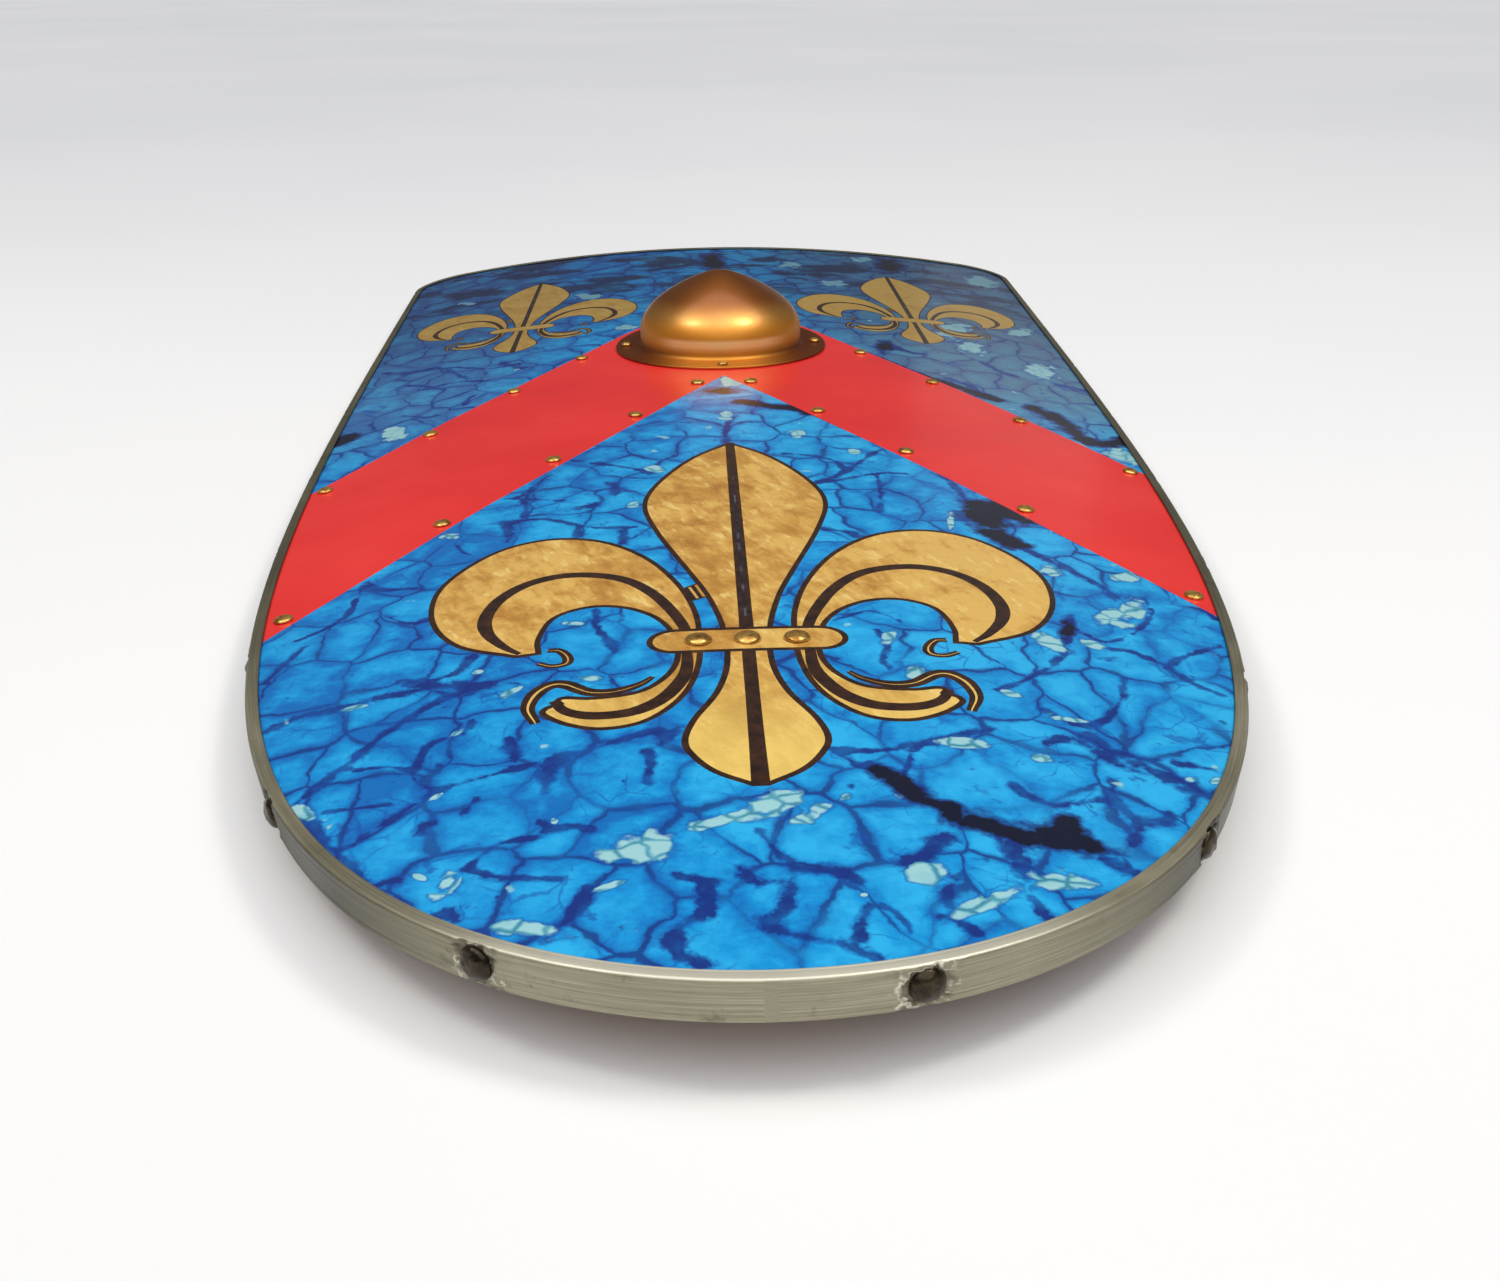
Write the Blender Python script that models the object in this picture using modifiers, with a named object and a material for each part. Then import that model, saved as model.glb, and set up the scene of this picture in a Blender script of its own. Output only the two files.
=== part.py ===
"""Long bowed shield: a bowed board with a steel rim strip, a hollow boss, nails, tacks and a hand grip.

The shield lies face up and rests on its two long sides. +Y runs from the round foot to the straight
head, +Z is up, and the origin is under the middle of the board, on the surface it lies on.
Sizes on the face are taken round the bow: `across` is the arc from the centre line and `up` is the
distance from the foot end. Depths are taken square to the face, with 0 on the face itself.
"""

import math

import bmesh
import bpy
from mathutils import Matrix, Vector

# Outline of the rimmed shield, in metres: straight flanks that close in a round foot
LENGTH = 1.136
HEAD_WIDTH = 0.552
FLANK_LEAN = math.radians(2.30)
FOOT_FADE = 0.1672
HEAD_ARC_RADIUS = 2.7
CORNER_RADIUS = 0.045

# Board, bowed across its width
BOW_RADIUS = 1.515
BOARD_THICKNESS = 0.012

# Rim strip, folded over the board's edge
STRIP_THICKNESS = 0.0012
STRIP_LIP = 0.0055
STRIP_FOLD = 0.0006

# Boss, pressed from sheet, over a hand hole
BOSS_UP = 0.7519
BOSS_DOME_RADIUS = 0.0569
BOSS_FLANGE_WIDTH = 0.0181
BOSS_HEIGHT = 0.053
BOSS_SHEET = 0.0016
BOSS_FOOT_FILLET = 0.003
DOME_SHOULDER_POWER = 3.4
DOME_CROWN_POWER = 1.65
DOME_CONE_SHARE = 0.29
DOME_TIP_ROUNDING = 0.12
HAND_HOLE_LEDGE = 0.0028

# Chevron band on the face, set out from the boss: the tacks follow its two edges
CHEVRON_SLOPE = 1.8236
CHEVRON_OVER_BOSS = 0.1715
CHEVRON_UNDER_BOSS = 0.0903
TACK_FROM_EDGE = 0.007
TACK_FROM_FLANK = 0.0135
LOWER_ROW = {"from_boss": 0.0292, "count": 5, "growth": 1.14}
UPPER_ROW = {"from_boss": 0.0214, "count": 4, "growth": 1.08}

# Rivets in a row across the crossbar of the large lily
BAR_RIVET_UP = 0.2320
BAR_RIVET_PITCH = 0.0203
BAR_RIVET_COUNT = 3

# Rivets that hold the boss, and nails round the rim
BOSS_RIVET_COUNT = 4
RIM_NAIL_COUNT = 22
RIM_NAIL_START = 0.043

# Fasteners: head radius, head height, shank radius and shank length in the wood
TACK = {"head": 0.00475, "height": 0.0022, "shank": 0.0010, "length": 0.0070}
BAR_RIVET = {"head": 0.0055, "height": 0.0026, "shank": 0.0012, "length": 0.0075}
BOSS_RIVET = {"head": 0.0036, "height": 0.0022, "shank": 0.0015, "length": 0.0080}
RIM_NAIL = {"head": 0.0061, "height": 0.0028, "shank": 0.0015, "length": 0.0160}
GRIP_SCREW = {"head": 0.0050, "height": 0.0020, "shank": 0.0020, "length": 0.0070}

# Hand grip, screwed to the back across the hand hole and clear of what the shield lies on
GRIP_LAP = 0.0475
GRIP_END_WIDTH = 0.040
GRIP_WAIST_WIDTH = 0.030
GRIP_CORNER_CUT = 0.008
GRIP_FLOOR_ROOM = 0.0065
GRIP_EDGE_ROUNDING = 0.003

# Clearances between pieces
SEAT_GAP = 0.0003
PILOT_CLEARANCE = 0.0004

# Fineness of the round forms
STAVE_WIDTH = 0.034
FLANK_STEPS = 20
CORNER_STEPS = 5
HEAD_STEPS = 4
HOLE_SIDES = 24
BOSS_SIDES = 28
DOME_STEPS = 9
FASTENER_SIDES = 8
HEAD_SHOULDER = math.radians(52.0)
SMOOTH_ANGLE = math.radians(40.0)
GRIP_STEPS = 8
WELD = 0.00001

PARTS = "long_bowed_shield"
CUTTERS = "cutters"

BOSS_FLANGE_RADIUS = BOSS_DOME_RADIUS + BOSS_FLANGE_WIDTH
BOSS_FOOT_RADIUS = BOSS_DOME_RADIUS + BOSS_FOOT_FILLET
HAND_HOLE_RADIUS = BOSS_DOME_RADIUS - BOSS_SHEET - HAND_HOLE_LEDGE
OUT_OF_FACE = (0.0, 0.0, 1.0)


def clear_scene():
    """Remove every object and collection that the file starts with."""
    for item in list(bpy.data.objects):
        bpy.data.objects.remove(item, do_unlink=True)
    for group in list(bpy.data.collections):
        bpy.data.collections.remove(group)


def new_collection(name):
    """Make a collection under the scene's own."""
    group = bpy.data.collections.new(name)
    bpy.context.scene.collection.children.link(group)
    return group


def material(name, colour, roughness, metallic):
    """Make a Principled material."""
    finish = bpy.data.materials.new(name)
    finish.use_nodes = True
    shader = finish.node_tree.nodes["Principled BSDF"]
    shader.inputs["Base Color"].default_value = (*colour, 1.0)
    shader.inputs["Roughness"].default_value = roughness
    shader.inputs["Metallic"].default_value = metallic
    return finish


def arc(centre, radius, start, end, steps):
    """Points along an arc from angle start to angle end, both ends included."""
    angles = [start + (end - start) * i / steps for i in range(steps + 1)]
    return [centre + radius * Vector((math.cos(angle), math.sin(angle))) for angle in angles]


def half_width(up):
    """Half the width at a height above the foot: a leaning flank that fades to nothing at the foot."""
    flank = HEAD_WIDTH / 2.0 - (LENGTH - up) * math.tan(FLANK_LEAN)
    return flank * math.sqrt(1.0 - math.exp(-max(up, 0.0) / FOOT_FADE))


def head_height(across):
    """Height of the arched head edge at a distance from the centre line."""
    return LENGTH - HEAD_ARC_RADIUS + math.sqrt(HEAD_ARC_RADIUS ** 2 - across ** 2)


def right_side():
    """Right half of the outline from the foot to the middle of the head."""
    corner_across = HEAD_WIDTH / 2.0
    for _ in range(20):
        corner_across = half_width(head_height(corner_across))
    corner = Vector((corner_across, head_height(corner_across)))
    head_lean = math.asin(corner_across / HEAD_ARC_RADIUS)
    along_flank = Vector((math.sin(FLANK_LEAN), math.cos(FLANK_LEAN)))
    turn = math.pi / 2.0 + FLANK_LEAN - head_lean
    start = corner - along_flank * CORNER_RADIUS * math.tan(turn / 2.0)
    centre = start + CORNER_RADIUS * Vector((-math.cos(FLANK_LEAN), math.sin(FLANK_LEAN)))

    last_phase = math.acos(math.exp(-start.y / (2.0 * FOOT_FADE)))
    points = []
    for i in range(FLANK_STEPS):
        up = -2.0 * FOOT_FADE * math.log(math.cos(last_phase * i / FLANK_STEPS))
        points.append(Vector((half_width(up), up)))
    points += arc(centre, CORNER_RADIUS, -FLANK_LEAN, turn - FLANK_LEAN, CORNER_STEPS)
    head_start = points[-1].x
    for i in range(1, HEAD_STEPS + 1):
        across = head_start * (1.0 - i / HEAD_STEPS)
        points.append(Vector((across, head_height(across))))
    return points


def outline(inset):
    """Whole outline taken in by an inset, counter-clockwise from the foot, as (across, up) points."""
    right = right_side()
    loop = right + [Vector((-point.x, point.y)) for point in reversed(right[1:-1])]
    moved = []
    for before, point, after in zip(loop[-1:] + loop[:-1], loop, loop[1:] + loop[:1]):
        along = (point - before).normalized() + (after - point).normalized()
        moved.append(point + inset * Vector((-along.y, along.x)).normalized())
    return moved


def rest_height():
    """Height of the face's crest above the surface that the strip's two sides rest on."""
    widest = max(point.x for point in right_side())
    back = BOARD_THICKNESS + SEAT_GAP + STRIP_THICKNESS
    return BOW_RADIUS - (BOW_RADIUS - back) * math.cos(widest / BOW_RADIUS)


FACE_HEIGHT = rest_height()
BACK_HEIGHT = FACE_HEIGHT - BOARD_THICKNESS


def bowed(across, up, depth):
    """Place a point of the flat layout on the bowed shield."""
    angle = across / BOW_RADIUS
    radius = BOW_RADIUS - depth
    return Vector((radius * math.sin(angle),
                   up - LENGTH / 2.0,
                   FACE_HEIGHT - BOW_RADIUS + radius * math.cos(angle)))


def bowed_direction(across, direction):
    """Turn a flat direction (across, up, out of the face) with the bow."""
    angle = across / BOW_RADIUS
    sideways = Vector((math.cos(angle), 0.0, -math.sin(angle)))
    outward = Vector((math.sin(angle), 0.0, math.cos(angle)))
    return direction[0] * sideways + Vector((0.0, direction[1], 0.0)) + direction[2] * outward


def cut_at_staves(work):
    """Weld a flat mesh, merge its flat faces, and cut it lengthwise at each stave line."""
    bmesh.ops.remove_doubles(work, verts=work.verts, dist=WELD)
    bmesh.ops.dissolve_limit(work, angle_limit=math.radians(0.5), verts=work.verts, edges=work.edges)
    reach = max(abs(vert.co.x) for vert in work.verts)
    staves = math.floor(reach / STAVE_WIDTH)
    for i in range(-staves, staves + 1):
        everything = list(work.verts) + list(work.edges) + list(work.faces)
        bmesh.ops.bisect_plane(work, geom=everything, dist=WELD,
                               plane_co=(i * STAVE_WIDTH, 0.0, 0.0), plane_no=(1.0, 0.0, 0.0))


def bow_mesh(mesh):
    """Bend a flat mesh (across, up, height over the face) round the bow."""
    work = bmesh.new()
    work.from_mesh(mesh)
    cut_at_staves(work)
    for vert in work.verts:
        vert.co = bowed(vert.co.x, vert.co.y, -vert.co.z)
    bmesh.ops.triangulate(work, faces=work.faces)
    bmesh.ops.recalc_face_normals(work, faces=work.faces)
    work.to_mesh(mesh)
    work.free()


def flat_curve(name, loops):
    """Make a flat curve with one closed spline for each loop of points."""
    data = bpy.data.curves.new(name, "CURVE")
    data.dimensions = "2D"
    data.fill_mode = "BOTH"
    for loop in loops:
        spline = data.splines.new("POLY")
        spline.points.add(len(loop) - 1)
        for point, spot in zip(spline.points, loop):
            point.co = (spot[0], spot[1], 0.0, 1.0)
        spline.use_cyclic_u = True
    return data


def mesh_from_curve(name, data, lift):
    """Turn a curve into a mesh, raised by a height."""
    guide = bpy.data.objects.new(name + "_guide", data)
    bpy.context.scene.collection.objects.link(guide)
    bpy.context.view_layer.update()
    graph = bpy.context.evaluated_depsgraph_get()
    mesh = bpy.data.meshes.new_from_object(guide.evaluated_get(graph))
    mesh.name = name
    mesh.transform(Matrix.Translation((0.0, 0.0, lift)))
    bpy.data.objects.remove(guide)
    bpy.data.curves.remove(data)
    return mesh


def panel(name, loops, thickness, top):
    """A flat panel of an outline and its holes, with its upper side at a height."""
    data = flat_curve(name, loops)
    data.extrude = thickness / 2.0
    return mesh_from_curve(name, data, top - thickness / 2.0)


def turned(name, profile, steps):
    """Turn an open profile of (radius, height) about Z."""
    mesh = bpy.data.meshes.new(name + "_profile")
    edges = [(i, i + 1) for i in range(len(profile) - 1)]
    mesh.from_pydata([(radius, 0.0, height) for radius, height in profile], edges, [])
    item = bpy.data.objects.new(name, mesh)
    bpy.context.scene.collection.objects.link(item)
    screw = item.modifiers.new("turn", "SCREW")
    screw.axis = "Z"
    screw.steps = steps
    screw.render_steps = steps
    screw.use_merge_vertices = True
    screw.merge_threshold = WELD
    return item


def applied(item):
    """Apply an object's modifiers and keep the mesh alone, under the object's name."""
    name = item.name
    bpy.context.view_layer.update()
    graph = bpy.context.evaluated_depsgraph_get()
    mesh = bpy.data.meshes.new_from_object(item.evaluated_get(graph))
    bpy.data.objects.remove(item)
    mesh.name = name
    return mesh


def add_part(name, mesh, group, finish, smooth=False):
    """Make a named part from a mesh, in its material."""
    item = bpy.data.objects.new(name, mesh)
    group.objects.link(item)
    if not mesh.materials:
        mesh.materials.append(finish)
    if smooth:
        mesh.shade_smooth()
        mesh.set_sharp_from_angle(angle=SMOOTH_ANGLE)
    return item


def drill(item, group, holes):
    """Cut round holes, each a seat point, an outward direction, a radius and a depth."""
    name = item.name + "_holes"
    work = bmesh.new()
    for seat, outward, radius, depth in holes:
        turn = outward.to_track_quat("Z", "Y").to_matrix().to_4x4()
        bmesh.ops.create_cone(work, cap_ends=True, segments=FASTENER_SIDES, radius1=radius, radius2=radius,
                              depth=2.0 * depth, matrix=Matrix.Translation(seat) @ turn)
    mesh = bpy.data.meshes.new(name)
    work.to_mesh(mesh)
    work.free()
    cutter = bpy.data.objects.new(name, mesh)
    cutter.hide_render = True
    cutter.display_type = "WIRE"
    group.objects.link(cutter)
    cut = item.modifiers.new("holes", "BOOLEAN")
    cut.operation = "DIFFERENCE"
    cut.solver = "EXACT"
    cut.object = cutter


class Fastener:
    """A domed nail, tack, rivet or screw that holds something of a given depth to the wood."""

    def __init__(self, name, sizes, held, group, finish):
        """Turn the mesh that every copy shares, with its seat at height 0 and its shank below."""
        self.sizes = sizes
        self.held = held
        self.group = group
        self.finish = finish
        self.holes = []
        head = sizes["head"]
        shank = sizes["shank"]
        tip = -(held + sizes["length"])
        shoulder = (head * math.sin(HEAD_SHOULDER), sizes["height"] * math.cos(HEAD_SHOULDER))
        profile = [(0.0, sizes["height"]), shoulder, (head, 0.0), (shank, 0.0), (shank, tip), (0.0, tip - shank)]
        self.mesh = applied(turned(name, profile, FASTENER_SIDES))

    def drive(self, name, seat, outward):
        """Place one copy and note the pilot hole that its shank needs."""
        item = add_part(name, self.mesh, self.group, self.finish, smooth=True)
        item.location = seat
        item.rotation_mode = "QUATERNION"
        item.rotation_quaternion = outward.to_track_quat("Z", "Y")
        shank = self.sizes["shank"]
        depth = self.held + self.sizes["length"] + shank + PILOT_CLEARANCE
        self.holes.append((seat, outward, shank + PILOT_CLEARANCE, depth))


def drive_tacks(tack):
    """Drive the tacks along both edges of the chevron, clear of the boss and the flanks."""
    edge_length = math.hypot(1.0, CHEVRON_SLOPE)
    inset = TACK_FROM_EDGE * edge_length
    rows = (("lower", LOWER_ROW, inset - CHEVRON_UNDER_BOSS), ("upper", UPPER_ROW, CHEVRON_OVER_BOSS - inset))
    for row, layout, offset in rows:
        row_up = BOSS_UP + offset
        clear = BOSS_FLANGE_RADIUS + TACK["head"] + layout["from_boss"]
        nearest = offset * CHEVRON_SLOPE / edge_length ** 2
        reach = math.sqrt(clear ** 2 - (offset / edge_length) ** 2) / edge_length
        last = HEAD_WIDTH / 2.0
        for _ in range(60):
            last = 0.5 * (last + half_width(row_up - CHEVRON_SLOPE * last) - TACK_FROM_FLANK)
        stations = spaced(nearest + reach, last, layout["count"], layout["growth"])
        if nearest > reach:
            stations.insert(0, nearest - reach)
        for side, sign in (("left", -1.0), ("right", 1.0)):
            for i, station in enumerate(stations, start=1):
                across = sign * station
                seat = bowed(across, row_up - CHEVRON_SLOPE * station, -SEAT_GAP)
                tack.drive(f"tack_{row}_{side}_{i}", seat, bowed_direction(across, OUT_OF_FACE))


def spaced(first, last, count, growth):
    """Positions from first to last, each gap larger than the one before by a growth factor."""
    gaps = [growth ** i for i in range(count - 1)]
    return [first + (last - first) * sum(gaps[:i]) / sum(gaps) for i in range(count)]


def drive_bar_rivets(rivet):
    """Drive the row of rivets on the crossbar of the large lily."""
    for i in range(BAR_RIVET_COUNT):
        across = (i - (BAR_RIVET_COUNT - 1) / 2.0) * BAR_RIVET_PITCH
        seat = bowed(across, BAR_RIVET_UP, -SEAT_GAP)
        rivet.drive(f"bar_rivet_{i + 1}", seat, bowed_direction(across, OUT_OF_FACE))


def drive_boss_rivets(rivet):
    """Drive the rivets through the middle of the boss's flange."""
    circle = (BOSS_FOOT_RADIUS + BOSS_FLANGE_RADIUS) / 2.0
    flange_top = BOSS_SHEET + 2.0 * SEAT_GAP
    for i in range(BOSS_RIVET_COUNT):
        angle = 2.0 * math.pi * i / BOSS_RIVET_COUNT
        across = circle * math.cos(angle)
        seat = bowed(across, BOSS_UP + circle * math.sin(angle), -flange_top)
        rivet.drive(f"boss_rivet_{i + 1}", seat, bowed_direction(across, OUT_OF_FACE))


def drive_rim_nails(nail):
    """Drive the nails into the strip's side, evenly spaced round the outline."""
    loop = outline(0.0)
    pairs = list(zip(loop, loop[1:] + loop[:1]))
    whole = sum((after - before).length for before, after in pairs)
    for i in range(RIM_NAIL_COUNT):
        wanted = (RIM_NAIL_START + whole * i / RIM_NAIL_COUNT) % whole
        for before, after in pairs:
            length = (after - before).length
            if wanted <= length:
                break
            wanted -= length
        along = (after - before).normalized()
        normal = Vector((along.y, -along.x))
        spot = before + along * wanted + normal * SEAT_GAP
        seat = bowed(spot.x, spot.y, BOARD_THICKNESS / 2.0)
        nail.drive(f"rim_nail_{i + 1:02d}", seat, bowed_direction(spot.x, (normal.x, normal.y, 0.0)))


def grip_half_length():
    """Half the grip's length: the hand hole and the lap past it."""
    return HAND_HOLE_RADIUS + GRIP_LAP


def drive_grip_screws(screw):
    """Drive one screw up through each end of the grip, in the middle of its lap."""
    across = grip_half_length() - GRIP_LAP / 2.0
    for i, side in enumerate((-1.0, 1.0), start=1):
        seat = Vector((side * across, BOSS_UP - LENGTH / 2.0, GRIP_FLOOR_ROOM - SEAT_GAP))
        screw.drive(f"grip_screw_{i}", seat, Vector((0.0, 0.0, -1.0)))


def build_board(parts, finish):
    """The bowed board with its hand hole."""
    centre = Vector((0.0, BOSS_UP))
    hole = arc(centre, HAND_HOLE_RADIUS, 0.0, 2.0 * math.pi, HOLE_SIDES)[:-1]
    mesh = panel("board", [outline(STRIP_THICKNESS + SEAT_GAP), hole], BOARD_THICKNESS, 0.0)
    bow_mesh(mesh)
    return add_part("board", mesh, parts, finish)


def build_rim(parts, cutters, finish):
    """The folded steel strip: its section is swept round the outline and bent with the board."""
    half = BOARD_THICKNESS / 2.0 + SEAT_GAP
    outer = half + STRIP_THICKNESS
    section = [(STRIP_LIP, half), (STRIP_LIP, outer), (STRIP_FOLD, outer), (0.0, outer - STRIP_FOLD),
               (0.0, STRIP_FOLD - outer), (STRIP_FOLD, -outer), (STRIP_LIP, -outer), (STRIP_LIP, -half),
               (STRIP_THICKNESS, -half), (STRIP_THICKNESS, half)]
    guide = bpy.data.objects.new("strip_section", flat_curve("strip_section", [section]))
    guide.hide_render = True
    guide.display_type = "WIRE"
    cutters.objects.link(guide)
    sweep = flat_curve("rim_strip", [outline(0.0)])
    sweep.bevel_mode = "OBJECT"
    sweep.bevel_object = guide
    mesh = mesh_from_curve("rim_strip", sweep, -BOARD_THICKNESS / 2.0)
    bow_mesh(mesh)
    return add_part("rim_strip", mesh, parts, finish)


def dome_height(share):
    """Height of the dome, 0 to 1, at a share of its radius: steep sides under a blunt cone."""
    shoulder = (1.0 - share ** DOME_CROWN_POWER) ** (1.0 / DOME_SHOULDER_POWER)
    edge = math.hypot(1.0, DOME_TIP_ROUNDING)
    cone = (edge - math.hypot(share, DOME_TIP_ROUNDING)) / (edge - DOME_TIP_ROUNDING)
    return (1.0 - DOME_CONE_SHARE) * shoulder + DOME_CONE_SHARE * cone


def boss_profile():
    """Outer side of the boss, from the top of the dome to the edge of the flange."""
    flange_top = SEAT_GAP + BOSS_SHEET
    foot = flange_top + BOSS_FOOT_FILLET
    profile = []
    for i in range(DOME_STEPS + 1):
        share = math.sin(math.pi / 2.0 * i / DOME_STEPS)
        profile.append((BOSS_DOME_RADIUS * share, foot + (BOSS_HEIGHT - foot) * dome_height(share)))
    for turn in (math.pi / 4.0, math.pi / 2.0):
        profile.append((BOSS_DOME_RADIUS + BOSS_FOOT_FILLET * (1.0 - math.cos(turn)),
                        foot - BOSS_FOOT_FILLET * math.sin(turn)))
    profile.append((BOSS_FLANGE_RADIUS, flange_top))
    return profile


def build_boss(parts, finish):
    """The hollow boss, its flange sprung down onto the bowed face."""
    shell = turned("boss", boss_profile(), BOSS_SIDES)
    wall = shell.modifiers.new("sheet", "SOLIDIFY")
    wall.thickness = BOSS_SHEET
    wall.offset = -1.0
    mesh = applied(shell)
    for vert in mesh.vertices:
        vert.co = bowed(vert.co.x, BOSS_UP + vert.co.y, -vert.co.z)
    return add_part("boss", mesh, parts, finish, smooth=True)


def build_grip(parts, finish):
    """The wooden grip: waisted, flat on its back, and shaped on its front to the bowed board."""
    half = grip_half_length()
    right_edge = []
    for i in range(GRIP_STEPS + 1):
        across = (half - GRIP_CORNER_CUT) * (2.0 * i / GRIP_STEPS - 1.0)
        waist = 0.5 + 0.5 * math.cos(math.pi * across / half)
        width = GRIP_END_WIDTH + (GRIP_WAIST_WIDTH - GRIP_END_WIDTH) * waist
        right_edge.append((across, -width / 2.0))
    end = GRIP_END_WIDTH / 2.0 - GRIP_CORNER_CUT
    left_edge = [(-across, -up) for across, up in right_edge]
    loop = right_edge + [(half, -end), (half, end)] + left_edge + [(-half, end), (-half, -end)]
    front = BACK_HEIGHT - SEAT_GAP
    thickness = front - GRIP_FLOOR_ROOM
    mesh = panel("grip", [loop], thickness, front)
    work = bmesh.new()
    work.from_mesh(mesh)
    cut_at_staves(work)
    for vert in work.verts:
        on_front = vert.co.z > front - thickness / 2.0
        seat = bowed(vert.co.x, BOSS_UP + vert.co.y, BOARD_THICKNESS + SEAT_GAP)
        vert.co = seat if on_front else Vector((seat.x, seat.y, GRIP_FLOOR_ROOM))
    bmesh.ops.recalc_face_normals(work, faces=work.faces)
    work.to_mesh(mesh)
    work.free()
    grip = add_part("grip", mesh, parts, finish)
    rounding = grip.modifiers.new("rounding", "BEVEL")
    rounding.width = GRIP_EDGE_ROUNDING
    rounding.segments = 2
    rounding.limit_method = "ANGLE"
    rounding.angle_limit = math.radians(50.0)
    return grip


def build():
    """Build the whole shield."""
    clear_scene()
    parts = new_collection(PARTS)
    cutters = new_collection(CUTTERS)
    wood = material("board_wood", (0.53, 0.36, 0.20), 0.55, 0.0)
    steel = material("strip_steel", (0.36, 0.34, 0.28), 0.38, 1.0)
    copper = material("boss_copper", (0.62, 0.34, 0.14), 0.30, 1.0)
    brass = material("tack_brass", (0.72, 0.52, 0.24), 0.28, 1.0)
    dark_steel = material("nail_steel", (0.10, 0.085, 0.07), 0.35, 1.0)
    grip_wood = material("grip_wood", (0.42, 0.27, 0.15), 0.60, 0.0)

    tack = Fastener("tack", TACK, SEAT_GAP, parts, brass)
    bar_rivet = Fastener("bar_rivet", BAR_RIVET, SEAT_GAP, parts, brass)
    boss_rivet = Fastener("boss_rivet", BOSS_RIVET, BOSS_SHEET + 2.0 * SEAT_GAP, parts, copper)
    rim_nail = Fastener("rim_nail", RIM_NAIL, STRIP_THICKNESS + 2.0 * SEAT_GAP, parts, dark_steel)
    grip_depth = BACK_HEIGHT - GRIP_FLOOR_ROOM + SEAT_GAP
    grip_screw = Fastener("grip_screw", GRIP_SCREW, grip_depth, parts, dark_steel)
    drive_tacks(tack)
    drive_bar_rivets(bar_rivet)
    drive_boss_rivets(boss_rivet)
    drive_rim_nails(rim_nail)
    drive_grip_screws(grip_screw)

    board = build_board(parts, wood)
    every_hole = tack.holes + bar_rivet.holes + boss_rivet.holes + rim_nail.holes + grip_screw.holes
    drill(board, cutters, every_hole)
    drill(build_rim(parts, cutters, steel), cutters, rim_nail.holes)
    drill(build_boss(parts, copper), cutters, boss_rivet.holes)
    drill(build_grip(parts, grip_wood), cutters, grip_screw.holes)


build()
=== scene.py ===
"""Dressed long bowed shield: printed board, folded steel rim, hollow boss, studs and hand grip.

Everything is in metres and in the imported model's frame: +Y runs from the round foot to the straight head,
+Z is up, and the shield lies face up on its two long sides. Places on the face are given on the sheet
before it is bowed: `across` is the arc from the centre line, `up` the distance from the foot end, and
`height` is square to the face, with 0 on the face itself.
"""

import logging
import math
from dataclasses import dataclass, field
from enum import Enum
from functools import cached_property, reduce
from typing import Any, Sequence

import bpy
from mathutils import Matrix, Vector
from mathutils.geometry import delaunay_2d_cdt, intersect_point_line


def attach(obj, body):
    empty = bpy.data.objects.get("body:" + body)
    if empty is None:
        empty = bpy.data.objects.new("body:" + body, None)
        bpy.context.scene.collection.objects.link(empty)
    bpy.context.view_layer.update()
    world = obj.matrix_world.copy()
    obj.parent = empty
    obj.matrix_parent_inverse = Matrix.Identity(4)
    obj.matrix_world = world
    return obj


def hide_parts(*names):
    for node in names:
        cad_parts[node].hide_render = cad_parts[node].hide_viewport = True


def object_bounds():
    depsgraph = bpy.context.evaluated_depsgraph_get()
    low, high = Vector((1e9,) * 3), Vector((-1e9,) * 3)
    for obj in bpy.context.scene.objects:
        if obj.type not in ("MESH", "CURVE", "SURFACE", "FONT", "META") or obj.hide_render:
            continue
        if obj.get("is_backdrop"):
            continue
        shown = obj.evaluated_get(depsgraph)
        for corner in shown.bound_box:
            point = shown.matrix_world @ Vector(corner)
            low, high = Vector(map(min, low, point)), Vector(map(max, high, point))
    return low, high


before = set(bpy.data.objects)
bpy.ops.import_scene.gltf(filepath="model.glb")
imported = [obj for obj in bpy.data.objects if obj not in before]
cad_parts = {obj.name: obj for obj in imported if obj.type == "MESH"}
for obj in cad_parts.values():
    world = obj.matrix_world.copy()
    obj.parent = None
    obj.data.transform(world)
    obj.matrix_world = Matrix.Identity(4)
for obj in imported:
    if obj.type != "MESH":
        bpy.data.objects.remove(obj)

LOG = logging.getLogger("long_bowed_shield")
BODY = "root"
LAYOUT = "layout"
WELD_DISTANCE = 0.000002
CUT_DISTANCE = 0.000001
QUARTER = math.pi / 2.0
Socket = bpy.types.NodeSocket
Colour = tuple[float, float, float, float]
Point = tuple[float, float]
Triple = tuple[float, float, float]


def pigment(red: int, green: int, blue: int) -> Colour:
    """Turn a colour as seen on a screen into the linear colour that a shader takes.

    Args:
        red: Red, 0 to 255.
        green: Green, 0 to 255.
        blue: Blue, 0 to 255.

    Returns:
        Linear red, green, blue and an alpha of 1.
    """
    linear = [((part / 255.0 + 0.055) / 1.055) ** 2.4 if part > 10 else part / 255.0 / 12.92
              for part in (red, green, blue)]
    return (linear[0], linear[1], linear[2], 1.0)


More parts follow.
